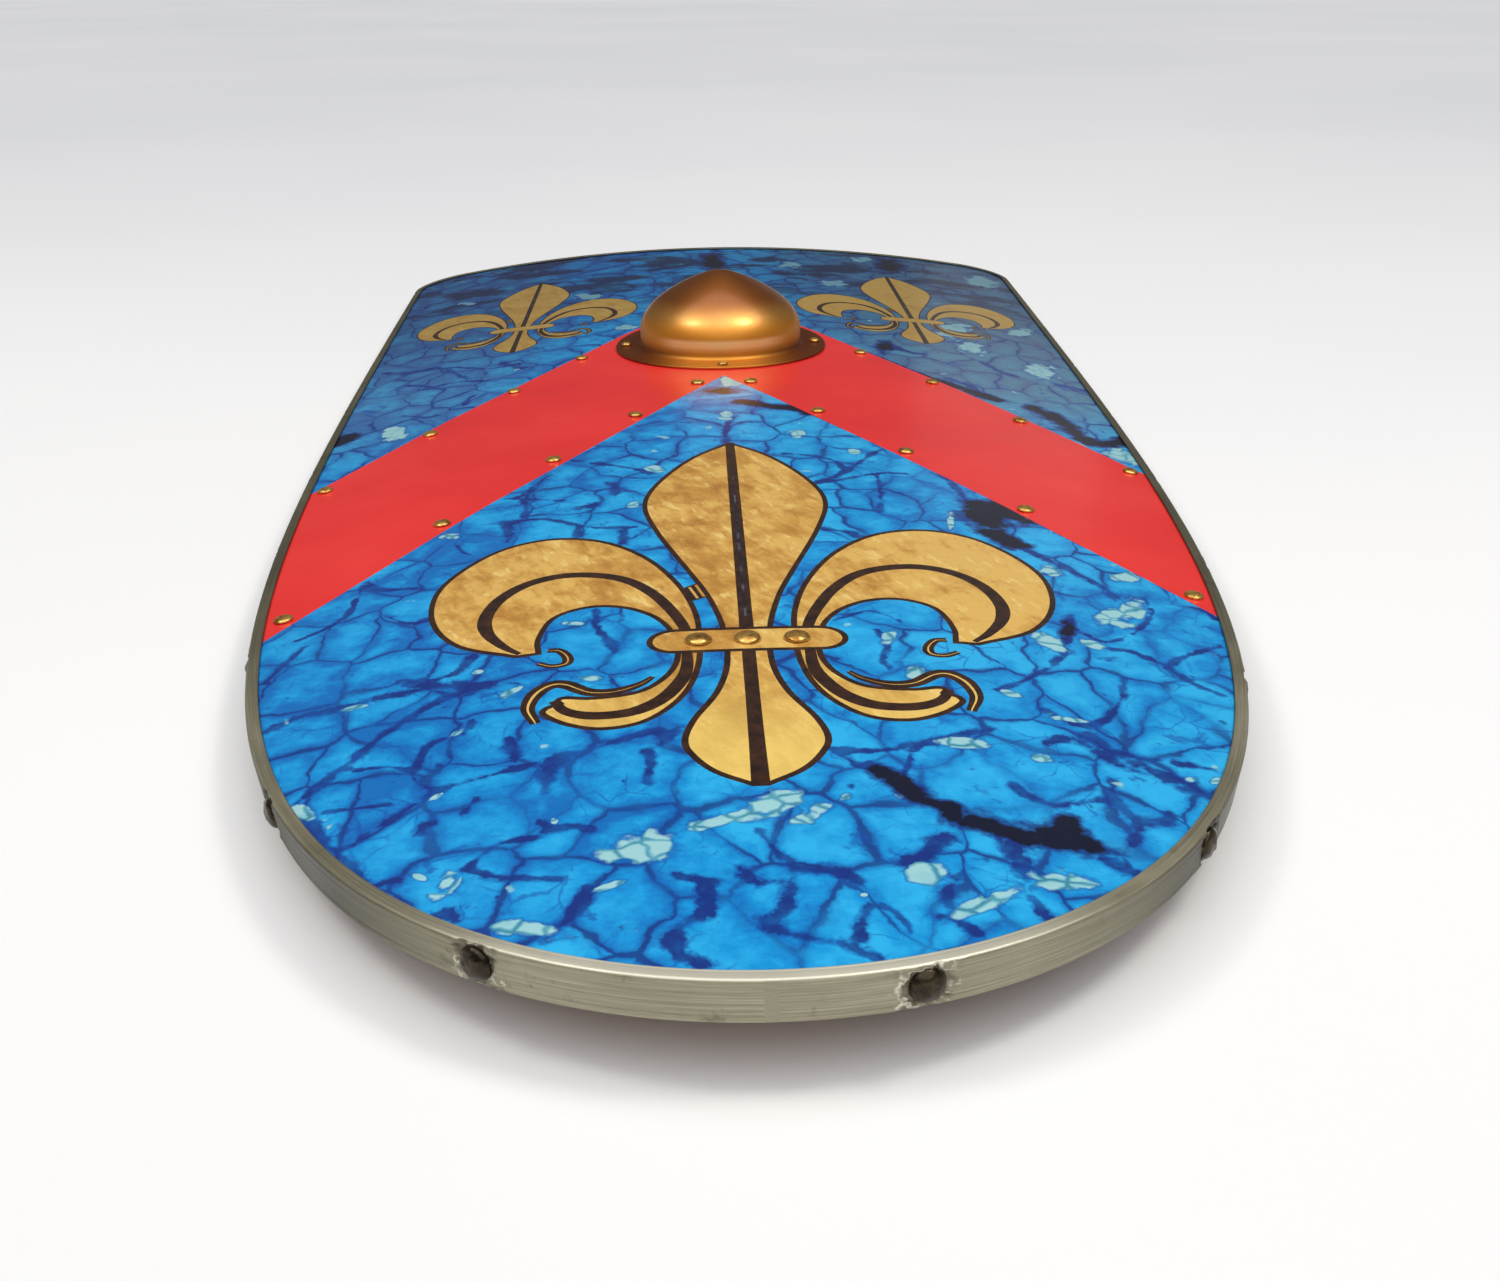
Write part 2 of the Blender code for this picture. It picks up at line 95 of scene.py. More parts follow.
class Graph:
    """Adds linked nodes to one node tree, so that a finish reads as a list of steps."""

    def __init__(self, tree: bpy.types.NodeTree) -> None:
        """Work on a tree that exists."""
        self.tree = tree

    def feed(self, socket: Socket, value: Any) -> None:
        """Link a socket to another one, or set its own value.

        Args:
            socket: The input to feed.
            value: An output socket, or a plain value.
        """
        if isinstance(value, bpy.types.NodeSocket):
            self.tree.links.new(value, socket)
        else:
            socket.default_value = value

    def node(self, kind: str, wires: dict[str | int, Any] | None = None, **settings: Any) -> bpy.types.Node:
        """Add one node.

        Args:
            kind: The node's type.
            wires: What goes to each input, by name or number.
            **settings: Properties of the node.

        Returns:
            The new node.
        """
        item = self.tree.nodes.new(kind)
        for key, value in settings.items():
            setattr(item, key, value)
        for key, value in (wires or {}).items():
            self.feed(item.inputs[key], value)
        return item

    def math(self, operation: str, *values: Any, clamp: bool = False) -> Socket:
        """Add a Math node and return its output."""
        item = self.node("ShaderNodeMath", dict(enumerate(values)), operation=operation, use_clamp=clamp)
        return item.outputs[0]

    def add(self, *values: Any) -> Socket:
        """Return the sum of two or more values."""
        return reduce(lambda total, value: self.math("ADD", total, value), values)

    def times(self, *values: Any) -> Socket:
        """Return the product of two or more values."""
        return reduce(lambda total, value: self.math("MULTIPLY", total, value), values)

    def less(self, value: Any, taken: Any) -> Socket:
        """Return a value with another one taken from it."""
        return self.math("SUBTRACT", value, taken)

    def weighed(self, *pairs: tuple[Any, float]) -> Socket:
        """Return the sum of values that are each multiplied by their weight."""
        return self.add(*[self.times(value, weight) for value, weight in pairs])

    def vector(self, operation: str, *values: Any) -> Socket:
        """Add a Vector Math node and return its vector output."""
        item = self.node("ShaderNodeVectorMath", dict(enumerate(values)), operation=operation)
        return item.outputs["Vector"]

    def scaled(self, vector: Any, scale: Any) -> Socket:
        """Return a vector times a number."""
        return self.node("ShaderNodeVectorMath", {0: vector, "Scale": scale}, operation="SCALE").outputs["Vector"]

    def split(self, vector: Any) -> tuple[Socket, Socket, Socket]:
        """Return the three parts of a vector."""
        item = self.node("ShaderNodeSeparateXYZ", {0: vector})
        return item.outputs[0], item.outputs[1], item.outputs[2]

    def join(self, x: Any = 0.0, y: Any = 0.0, z: Any = 0.0) -> Socket:
        """Return a vector made of three numbers."""
        return self.node("ShaderNodeCombineXYZ", {0: x, 1: y, 2: z}).outputs[0]

    def fade(self, value: Any, low: Any, high: Any, start: Any = 0.0, end: Any = 1.0) -> Socket:
        """Ease from start to end as a value goes from low to high, and hold outside them.

        Args:
            value: The value that is read.
            low: Where the change starts.
            high: Where the change ends.
            start: Result at low.
            end: Result at high.

        Returns:
            The eased value.
        """
        wires = {"Value": value, "From Min": low, "From Max": high, "To Min": start, "To Max": end}
        return self.node("ShaderNodeMapRange", wires, interpolation_type="SMOOTHSTEP").outputs["Result"]

    def noise(self, vector: Any, scale: float, detail: float = 2.0, roughness: float = 0.5,
              distortion: float = 0.0, colour: bool = False) -> Socket:
        """Add a Noise Texture.

        Args:
            vector: Where it is read.
            scale: Waves per unit of the vector.
            detail: Octaves.
            roughness: Weight of the finer octaves.
            distortion: How far the pattern is warped.
            colour: Whether the three-part output is wanted.

        Returns:
            The value between 0 and 1, or the colour.
        """
        wires = {"Vector": vector, "Scale": scale, "Detail": detail, "Roughness": roughness,
                 "Distortion": distortion}
        item = self.node("ShaderNodeTexNoise", wires, noise_dimensions="3D")
        return item.outputs["Color" if colour else 0]

    def drawn(self, vector: Any, waves: Triple, detail: float, roughness: float, colour: bool = False) -> Socket:
        """Add a Noise Texture that is drawn out: it has its own waves per unit along each part of the vector."""
        return self.noise(self.vector("MULTIPLY", vector, waves), 1.0, detail, roughness, colour=colour)

    def cells(self, vector: Any, scale: float, feature: str = "F1") -> bpy.types.Node:
        """Add a flat Voronoi Texture and return the node."""
        return self.node("ShaderNodeTexVoronoi", {"Vector": vector, "Scale": scale}, voronoi_dimensions="2D",
                         feature=feature)

    def mix(self, factor: Any, first: Any, second: Any, blend: str = "MIX") -> Socket:
        """Mix two colours.

        Args:
            factor: Share of the second colour.
            first: First colour.
            second: Second colour.
            blend: How they are mixed.

        Returns:
            The mixed colour.
        """
        item = self.node("ShaderNodeMix", {0: factor, 6: first, 7: second}, data_type="RGBA", blend_type=blend)
        return item.outputs[2]

    def ramp(self, value: Any, stops: Sequence[tuple[float, Colour]]) -> Socket:
        """Turn a value into a colour along a ramp of stops."""
        item = self.node("ShaderNodeValToRGB", {0: value})
        elements = item.color_ramp.elements
        while len(elements) < len(stops):
            elements.new(0.5)
        for element, (position, colour) in zip(elements, stops):
            element.position = position
            element.color = colour
        return item.outputs[0]

    def attribute(self, name: str, output: str = "Fac") -> Socket:
        """Read a named attribute of the piece in a material."""
        return self.node("ShaderNodeAttribute", attribute_name=name).outputs[output]

    def own_place(self) -> Socket:
        """Read the place on the piece itself in a material."""
        return self.node("ShaderNodeTexCoord").outputs["Object"]

    def bump(self, height: Any, distance: float, strength: float) -> Socket:
        """Turn a height into a normal.

        Args:
            height: The height, 0 to 1.
            distance: Height of the value 1, in metres.
            strength: Share of the effect.

        Returns:
            The bumped normal.
        """
        wires = {"Height": height, "Distance": distance, "Strength": strength}
        return self.node("ShaderNodeBump", wires).outputs[0]


class NodeGroup:
    """A node group with named inputs and outputs, for shaders or for geometry."""

    def __init__(self, name: str, kind: str, inputs: dict[str, Any], outputs: dict[str, str]) -> None:
        """Make the group and its sockets.

        Args:
            name: Name of the group.
            kind: Shader or Geometry.
            inputs: Default number of each input, or its kind of socket where it has none.
            outputs: Kind of socket of each output.
        """
        self.tree = bpy.data.node_groups.new(name, f"{kind}NodeTree")
        for label, value in inputs.items():
            kind_of_socket = value if isinstance(value, str) else type(value).__name__.capitalize()
            socket = self.tree.interface.new_socket(label, in_out="INPUT", socket_type=f"NodeSocket{kind_of_socket}")
            if not isinstance(value, str):
                socket.default_value = value
        for label, value in outputs.items():
            self.tree.interface.new_socket(label, in_out="OUTPUT", socket_type=f"NodeSocket{value}")
        self.graph = Graph(self.tree)
        self.source = self.tree.nodes.new("NodeGroupInput").outputs
        self.result = self.tree.nodes.new("NodeGroupOutput").inputs

    def finish(self, **results: Any) -> bpy.types.NodeTree:
        """Feed the outputs and return the tree."""
        for label, value in results.items():
            self.graph.feed(self.result[label], value)
        return self.tree


class Finish:
    """Base of the finishes: makes a material whose Principled shader is fed by `paint`."""

    name = "finish"

    def material(self) -> bpy.types.Material:
        """Make the material once, and return the same one after that."""
        found = bpy.data.materials.get(self.name)
        if found:
            return found
        made = bpy.data.materials.new(self.name)
        made.use_nodes = True
        graph = Graph(made.node_tree)
        self.paint(graph, made.node_tree.nodes["Principled BSDF"])
        return made

    def paint(self, graph: Graph, shader: bpy.types.Node) -> None:
        """Feed the shader; each finish has its own."""
        raise NotImplementedError

    @staticmethod
    def settle(graph: Graph, shader: bpy.types.Node, values: dict[str, Any]) -> None:
        """Feed several sockets of a shader by name."""
        for label, value in values.items():
            graph.feed(shader.inputs[label], value)


@dataclass(frozen=True)
class ShieldForm:
    """Outline and bow that every piece of the shield follows, in metres."""

    length: float = 1.136
    head_width: float = 0.552
    flank_lean: float = math.radians(2.30)
    foot_fade: float = 0.1672
    head_arc_radius: float = 2.7
    corner_radius: float = 0.045
    bow_radius: float = 1.515
    board_thickness: float = 0.012
    strip_thickness: float = 0.0012
    seat_gap: float = 0.0003
    face_height: float = 0.0379133
    boss_up: float = 0.7519
    boss_flange_radius: float = 0.075
    hand_hole_radius: float = 0.0525
    chevron_slope: float = 1.8236
    flank_steps: int = 96
    corner_steps: int = 20
    head_steps: int = 40
    corner_rounds: int = 20

    def half_width(self, up: float) -> float:
        """Return half the width at a distance from the foot."""
        flank = self.head_width / 2.0 - (self.length - up) * math.tan(self.flank_lean)
        return flank * math.sqrt(1.0 - math.exp(-max(up, 0.0) / self.foot_fade))

    def head_edge(self, across: float) -> float:
        """Return the height of the arched head edge at a distance from the centre line."""
        return self.length - self.head_arc_radius + math.sqrt(self.head_arc_radius ** 2 - across ** 2)

    def corner(self) -> tuple[Vector, Vector, float]:
        """Find the rounded head corner.

        Returns:
            Where its arc starts on the flank, its centre, and the angle that it turns through.
        """
        reach = self.head_width / 2.0
        for _ in range(self.corner_rounds):
            reach = self.half_width(self.head_edge(reach))
        tip = Vector((reach, self.head_edge(reach)))
        along = Vector((math.sin(self.flank_lean), math.cos(self.flank_lean)))
        turn = QUARTER + self.flank_lean - math.asin(reach / self.head_arc_radius)
        start = tip - along * self.corner_radius * math.tan(turn / 2.0)
        inward = Vector((-math.cos(self.flank_lean), math.sin(self.flank_lean)))
        return start, start + inward * self.corner_radius, turn

    def right_side(self) -> list[Vector]:
        """Return the right half of the outline from the foot to the middle of the head."""
        start, centre, turn = self.corner()
        last_phase = math.acos(math.exp(-start.y / (2.0 * self.foot_fade)))
        points = []
        for i in range(self.flank_steps):
            up = -2.0 * self.foot_fade * math.log(math.cos(last_phase * i / self.flank_steps))
            points.append(Vector((self.half_width(up), up)))
        for i in range(self.corner_steps + 1):
            angle = -self.flank_lean + turn * i / self.corner_steps
            points.append(centre + self.corner_radius * Vector((math.cos(angle), math.sin(angle))))
        head_start = points[-1].x
        for i in range(1, self.head_steps + 1):
            across = head_start * (1.0 - i / self.head_steps)
            points.append(Vector((across, self.head_edge(across))))
        return points

    def outline(self, inset: float) -> list[Vector]:
        """Return the whole outline, counter-clockwise from the foot.

        Args:
            inset: How far it is taken in.

        Returns:
            The points as (across, up).
        """
        right = self.right_side()
        loop = right + [Vector((-point.x, point.y)) for point in reversed(right[1:-1])]
        return Loop(loop).grown(-inset) if inset else loop

    def bowed(self, across: float, up: float, height: float = 0.0) -> Vector:
        """Bend a place on the flat sheet onto the bow.

        Args:
            across: Arc from the centre line.
            up: Distance from the foot end.
            height: Height over the face, less than 0 inside the wood.

        Returns:
            The place in the model's frame.
        """
        angle = across / self.bow_radius
        radius = self.bow_radius + height
        return Vector((radius * math.sin(angle), up - self.length / 2.0,
                       self.face_height - self.bow_radius + radius * math.cos(angle)))

    def outward(self, across: float) -> Vector:
        """Return the direction square to the bowed face."""
        angle = across / self.bow_radius
        return Vector((math.sin(angle), 0.0, math.cos(angle)))


class Loop:
    """A closed run of points on the flat sheet, counter-clockwise."""

    least_spread = 0.6

    def __init__(self, points: Sequence[Vector]) -> None:
        """Take the points, and turn their order round where they run clockwise."""
        self.points = list(points) if self.turned(points) > 0.0 else list(reversed(points))

    @staticmethod
    def turned(points: Sequence[Vector]) -> float:
        """Return twice the area that the points go round, less than 0 where they run clockwise."""
        pairs = zip(points, list(points[1:]) + [points[0]])
        return sum(a.x * b.y - b.x * a.y for a, b in pairs)

    def grown(self, distance: float) -> list[Vector]:
        """Return the loop with every point moved square to the line.

        Args:
            distance: How far outwards, or inwards where it is less than 0.

        Returns:
            The moved points.
        """
        moved = []
        count = len(self.points)
        for i, point in enumerate(self.points):
            before = (point - self.points[i - 1]).normalized()
            after = (self.points[(i + 1) % count] - point).normalized()
            side = Vector((before.y + after.y, -before.x - after.x)).normalized()
            spread = max(side.dot(Vector((after.y, -after.x))), self.least_spread)
            moved.append(point + side * distance / spread)
        return moved


def smooth_line(anchors: Sequence[Point], steps: int) -> list[Vector]:
    """Draw a smooth line through a few anchors.

    Args:
        anchors: Points that the line passes through.
        steps: Pieces between two anchors.

    Returns:
        The points of the line.
    """
    inner = [Vector(anchor) for anchor in anchors]
    points = [inner[0] * 2.0 - inner[1]] + inner + [inner[-1] * 2.0 - inner[-2]]
    line = []
    for i in range(1, len(points) - 2):
        before, start, end, after = points[i - 1:i + 3]
        for k in range(steps):
            t = k / steps
            line.append(0.5 * (2.0 * start + (end - before) * t
                               + (2.0 * before - 5.0 * start + 4.0 * end - after) * t ** 2
                               + (3.0 * start - before - 3.0 * end + after) * t ** 3))
    line.append(inner[-1])
    return line


def ribbon(line: Sequence[Vector], widths: Sequence[float]) -> list[Vector]:
    """Turn a line into a closed band.

    Args:
        line: Middle of the band.
        widths: Width at evenly spaced places from the line's start to its end.

    Returns:
        The band's contour.
    """
    left, right = [], []
    last = len(line) - 1
    for i, point in enumerate(line):
        along = (line[min(i + 1, last)] - line[max(i - 1, 0)]).normalized()
        place = i / last * (len(widths) - 1)
        low = min(int(place), len(widths) - 2)
        half = 0.5 * (widths[low] + (widths[low + 1] - widths[low]) * (place - low))
        side = Vector((-along.y, along.x)) * half
        left.append(point + side)
        right.append(point - side)
    return left + list(reversed(right))


class Ink(Enum):
    """What the sheet on the face is printed with."""

    STONE = 0
    RED = 1
    GOLD = 2
    OUTLINE = 3
    HAIRLINE = 4


@dataclass
class Area:
    """One printed area: a later one lies over an earlier one."""

    ink: Ink
    contour: list[Vector]


@dataclass(frozen=True)
class Lily:
    """A lily of three petals bound by a crossbar, drawn in units of its own and placed on the sheet."""

    across: float
    up: float
    scale: float
    line: float
    steps: int = 6
    petal: tuple[Point, ...] = ((-.003, 1.078), (-.074, .994), (-.130, .886), (-.172, .760), (-.180, .655),
                                (-.155, .525), (-.122, .405), (-.090, .297), (-.062, .195), (-.042, .085),
                                (-.036, .010))
    side_back: tuple[Point, ...] = ((-.076, .010), (-.084, .124), (-.114, .253), (-.172, .385), (-.254, .482),
                                    (-.350, .517), (-.440, .487), (-.508, .397), (-.542, .286), (-.528, .155),
                                    (-.470, .048), (-.371, -.013))
    side_front: tuple[Point, ...] = ((-.371, -.013), (-.335, -.008), (-.340, .050), (-.322, .131), (-.270, .168),
                                     (-.212, .162), (-.160, .122), (-.128, .064), (-.120, .010))
    side_fold: tuple[Point, ...] = ((-.366, -.004), (-.397, .033), (-.428, .090), (-.439, .155), (-.424, .232),
                                    (-.384, .293), (-.325, .322), (-.262, .315), (-.203, .280), (-.156, .212),
                                    (-.122, .130), (-.102, .060), (-.098, .010))
    curl_top: tuple[Point, ...] = ((-.112, -.010), (-.114, -.072), (-.133, -.128), (-.172, -.172), (-.236, -.184),
                                   (-.280, -.176), (-.291, -.184), (-.286, -.195))
    curl_low: tuple[Point, ...] = ((-.298, -.201), (-.308, -.210), (-.308, -.228), (-.272, -.264), (-.222, -.285),
                                   (-.166, -.273), (-.122, -.225), (-.094, -.161), (-.080, -.085), (-.076, -.010))
    curl_fold: tuple[Point, ...] = ((-.098, -.010), (-.098, -.095), (-.110, -.148), (-.138, -.203), (-.180, -.237),
                                    (-.235, -.242), (-.276, -.222), (-.298, -.184))
    flourish: tuple[Point, ...] = ((-.150, -.121), (-.170, -.146), (-.207, -.166), (-.246, -.162), (-.282, -.131),
                                   (-.306, -.129), (-.327, -.157), (-.334, -.205), (-.318, -.254))
    hook: tuple[Point, ...] = ((-.333, -.046), (-.310, -.060), (-.288, -.054), (-.287, -.030), (-.302, -.003),
                               (-.321, .000))
    foot: tuple[Point, ...] = ((-.033, -.010), (-.037, -.105), (-.055, -.190), (-.088, -.272), (-.101, -.335),
                               (-.090, -.379), (-.060, -.427), (-.010, -.466))
    tick: tuple[Point, ...] = ((-.098, .230), (-.077, .249), (-.063, .194), (-.084, .180))
    bar_half: float = 0.158
    bar_radius: float = 0.0425
    bar_centre: float = 0.0075
    bar_end_steps: int = 12
    tick_lights: Point = (0.24, 0.76)

    def placed(self, points: Sequence[Vector], mirrored: bool = False) -> list[Vector]:
        """Take points from the lily's own units to the sheet.

        Args:
            points: Points in the lily's units.
            mirrored: Whether they are turned over to the right side.

        Returns:
            Points as (across, up) in metres.
        """
        turn = -1.0 if mirrored else 1.0
        return [Vector((self.across + point.x * self.scale * turn, self.up + point.y * self.scale))
                for point in points]

    def plate(self, contour: list[Vector]) -> list[Area]:
        """Print one gold plate with its dark outline."""
        loop = Loop(contour)
        half = self.line / 2.0
        return [Area(Ink.OUTLINE, loop.grown(half)), Area(Ink.GOLD, loop.grown(-half))]

    def stroke(self, anchors: Sequence[Point], widths: Sequence[float], ink: Ink) -> list[Area]:
        """Print one line on both sides of the lily.

        Args:
            anchors: Anchors of the line on the left side.
            widths: Widths along it, in the lily's units.
            ink: What it is printed with.

        Returns:
            The two areas.
        """
        line = smooth_line(anchors, self.steps)
        real = [width * self.scale for width in widths]
        return [Area(ink, ribbon(self.placed(line, mirrored), real)) for mirrored in (False, True)]

    def plates(self, first: Sequence[Point], second: Sequence[Point]) -> list[Area]:
        """Print the plate between two lines on both sides of the lily."""
        contour = smooth_line(first, self.steps) + smooth_line(second, self.steps)
        areas = []
        for mirrored in (False, True):
            areas += self.plate(self.placed(contour, mirrored))
        return areas

    def middle_plate(self, anchors: Sequence[Point]) -> list[Area]:
        """Print a plate that is the same on both sides of the middle line."""
        left = smooth_line(anchors, self.steps)
        right = [Vector((-point.x, point.y)) for point in reversed(left)]
        return self.plate(self.placed(left + right))

    def areas(self) -> list[Area]:
        """Return the lily's areas from the lowest to the topmost."""
        areas = self.plates(self.side_back, self.side_front[1:])
        areas += self.stroke(self.side_fold, (0.010, 0.025, 0.025, 0.024, 0.022, 0.018), Ink.OUTLINE)
        areas += self.plates(self.curl_top, self.curl_low)
        areas += self.stroke(self.curl_fold, (0.016, 0.024, 0.027, 0.024, 0.014), Ink.OUTLINE)
        areas += self.stroke(self.flourish, (0.010, 0.024, 0.027, 0.028, 0.016), Ink.OUTLINE)
        areas += self.stroke(self.flourish, (0.0005, 0.0015, 0.003, 0.005, 0.002), Ink.GOLD)
        areas += self.stroke(self.hook, (0.013, 0.019, 0.016), Ink.OUTLINE)
        areas += self.stroke(self.hook, (0.001, 0.003, 0.001), Ink.GOLD)
        areas += self.middle_plate(self.petal)
        areas += self.middle_plate(self.foot)
        areas += self.ribs()
        tick = self.placed([Vector(point) for point in self.tick])
        areas.append(Area(Ink.OUTLINE, Loop(tick).grown(self.line / 2.0)))
        for share in self.tick_lights:
            low = tick[0].lerp(tick[1], share)
            high = tick[3].lerp(tick[2], share)
            areas.append(Area(Ink.GOLD, ribbon([low, high], (self.line * 0.5, self.line * 0.5))))
        areas += self.plate(self.placed(self.bar()))
        return areas

    def ribs(self) -> list[Area]:
        """Print the dark middle rib of the upper petal and the foot, the upper one with a pale thread."""
        upper = [Vector((0.0, y)) for y in (1.085, 0.9, 0.5, 0.1, 0.0)]
        lower = [Vector((0.0, y)) for y in (-0.02, -0.2, -0.35, -0.470)]
        scale = self.scale
        dark = Ink.OUTLINE
        return [Area(dark, ribbon(self.placed(upper), [w * scale for w in (0.020, 0.023, 0.023, 0.025)])),
                Area(Ink.HAIRLINE, ribbon(self.placed(upper[1:4]), [w * scale for w in (0.002, 0.005, 0.004)])),
                Area(dark, ribbon(self.placed(lower), [w * scale for w in (0.022, 0.022, 0.026)]))]

    def bar(self) -> list[Vector]:
        """Return the contour of the crossbar, a bar with round ends."""
        straight = self.bar_half - self.bar_radius
        points = []
        for side in (1.0, -1.0):
            for i in range(self.bar_end_steps + 1):
                angle = -QUARTER + math.pi * i / self.bar_end_steps
                points.append(Vector((side * (straight + self.bar_radius * math.cos(angle)),
                                      self.bar_centre + side * self.bar_radius * math.sin(angle))))
        return points


class Mark:
    """A landmark of the stone print."""

    bucket = 0.02

    def nearness(self, place: Vector) -> float:
        """Return 1 in the middle of the mark, 0 on its edge, and less outside it."""
        raise NotImplementedError

    def points(self) -> list[Vector]:
        """Return points on and round the mark where the sheet needs vertices."""
        raise NotImplementedError

    @staticmethod
    def measure(marks: Sequence["Mark"], places: Sequence[Vector], outside: float) -> list[float]:
        """Measure the nearest mark at each of many places.

        Args:
            marks: The marks.
            places: The places as (across, up).
            outside: The value far from every mark.

        Returns:
            The nearness at each place.
        """
        cell = Mark.bucket
        near = [outside] * len(places)
        buckets: dict[tuple[int, int], list[int]] = {}
        for i, place in enumerate(places):
            buckets.setdefault((int(place.x // cell), int(place.y // cell)), []).append(i)
        for mark in marks:
            spots = {(int(point.x // cell), int(point.y // cell)) for point in mark.points()}
            keys = {(x + i, y + k) for x, y in spots for i in (-1, 0, 1) for k in (-1, 0, 1)}
            for index in (index for key in keys for index in buckets.get(key, ())):
                near[index] = max(near[index], mark.nearness(places[index]))
        return near


@dataclass(frozen=True)
class Chip(Mark):
    """A patch of pale or dark stone in the print."""

    across: float
    up: float
    half_long: float
    half_short: float
    turn: float
    rings: tuple[tuple[float, int], ...] = ((0.5, 6), (1.0, 12), (1.6, 14))

    def nearness(self, place: Vector) -> float:
        """Return 1 in the middle of the patch, 0 on its edge, and less outside it."""
        offset = place - Vector((self.across, self.up))
        along = offset.x * math.cos(self.turn) + offset.y * math.sin(self.turn)
        aside = offset.y * math.cos(self.turn) - offset.x * math.sin(self.turn)
        return 1.0 - math.hypot(along / self.half_long, aside / self.half_short)

    def points(self) -> list[Vector]:
        """Return the middle of the patch and rings of points inside, on and outside its edge."""
        result = [Vector((self.across, self.up))]
        for share, count in self.rings:
            for i in range(count):
                angle = 2.0 * math.pi * i / count
                along = share * self.half_long * math.cos(angle)
                aside = share * self.half_short * math.sin(angle)
                result.append(Vector((self.across + along * math.cos(self.turn) - aside * math.sin(self.turn),
                                      self.up + along * math.sin(self.turn) + aside * math.cos(self.turn))))
        return result


@dataclass(frozen=True)
class Vein(Mark):
    """A long crack in the stone print."""

    path: tuple[Point, ...]
    reach: float = 0.0055
    step: float = 0.005

    @cached_property
    def line(self) -> list[Vector]:
        """Return the crack's middle line at short steps."""
        smooth = smooth_line(self.path, 3)
        points = [smooth[0]]
        for target in smooth[1:]:
            count = max(1, round((target - points[-1]).length / self.step))
            start = points[-1]
            points += [start.lerp(target, (i + 1) / count) for i in range(count)]
        return points

    def nearness(self, place: Vector) -> float:
        """Return 1 on the crack's middle line and 0 at its reach."""
        nearest = self.reach * 2.0
        for start, end in zip(self.line, self.line[1:]):
            foot, share = intersect_point_line(place, start, end)
            nearest = min(nearest, (place - (foot if 0.0 < share < 1.0 else start)).length)
        return 1.0 - nearest / self.reach

    def points(self) -> list[Vector]:
        """Return points on the crack and on both sides of it."""
        result = []
        last = len(self.line) - 1
        for i, point in enumerate(self.line):
            along = (self.line[min(i + 1, last)] - self.line[max(i - 1, 0)]).normalized()
            aside = Vector((-along.y, along.x))
            result += [point + aside * self.reach * share for share in (-1.0, 0.0, 1.0)]
        return result


@dataclass
class StoneMarks:
    """Where the stone print has its plain landmarks: pale chips, near-black patches and long cracks."""

    pale: tuple[Mark, ...] = ()
    dark: tuple[Mark, ...] = ()
    soot: tuple[Mark, ...] = ()
    cracks: tuple[Mark, ...] = ()

    def points(self) -> list[Vector]:
        """Return every place where the sheet needs a vertex for a mark."""
        return [point for mark in (*self.pale, *self.dark, *self.soot, *self.cracks) for point in mark.points()]

    def read(self, places: Sequence[Vector]) -> dict[str, list[float]]:
        """Measure the marks at each vertex.

        Args:
            places: The vertices as (across, up).

        Returns:
            A list of numbers for each attribute: pale, dark and crack.
        """
        return {"pale": Mark.measure(self.pale, places, -1.0),
                "dark": Mark.measure((*self.dark, *self.soot), places, -1.0),
                "crack": Mark.measure(self.cracks, places, 0.0)}


def sheet_place(graph: Graph) -> tuple[Socket, Socket, Socket]:
    """Read the place on the flat sheet in a material of the face.

    Args:
        graph: The material's graph.

    Returns:
        The place as a vector in metres, its across part and its up part.
    """
    place = graph.attribute(LAYOUT, "Vector")
    across, up, _ = graph.split(place)
    return place, across, up


def gloss_film() -> bpy.types.NodeTree:
    """Return the group for the clear film that covers the whole print: its roughness and its relief."""
    found = bpy.data.node_groups.get("gloss_film")
    if found:
        return found
    group = NodeGroup("gloss_film", "Shader", {"Place": "Vector", "Base Roughness": 0.3},
                      {"Roughness": "Float", "Normal": "Vector"})
    graph = group.graph
    place = group.source["Place"]
    smudge = graph.noise(place, 9.0, 4.0, 0.6)
    ripple = graph.noise(place, 55.0)
    peel = graph.noise(place, 620.0)
    wipe = graph.drawn(place, (90.0, 900.0, 1.0), 2.0, 0.6)
    change = graph.add(graph.fade(smudge, 0.35, 0.7, -0.05, 0.07), graph.fade(wipe, 0.55, 0.8, 0.0, 0.05))
    roughness = graph.math("ADD", group.source["Base Roughness"], change, clamp=True)
    relief = graph.weighed((ripple, 0.35), (peel, 0.06))
    return group.finish(Roughness=roughness, Normal=graph.bump(relief, 0.0006, 0.5))


class FaceFinish(Finish):
    """A finish on the printed sheet: its colour under the clear film."""

    base_roughness = 0.36
    coat = 0.55
    coat_roughness = 0.16
    specular = 0.45

    def colour(self, graph: Graph) -> Socket:
        """Return the colour of the ink; each ink has its own."""
        raise NotImplementedError

    def paint(self, graph: Graph, shader: bpy.types.Node) -> None:
        """Feed the shader with the ink's colour and the film's roughness and relief."""
        wires = {"Place": graph.attribute(LAYOUT, "Vector"), "Base Roughness": self.base_roughness}
        film = graph.node("ShaderNodeGroup", wires, node_tree=gloss_film()).outputs
        self.settle(graph, shader, {"Base Color": self.colour(graph), "Roughness": film["Roughness"],
                                    "Normal": film["Normal"], "Coat Weight": self.coat,
                                    "Coat Roughness": self.coat_roughness, "Specular IOR Level": self.specular})


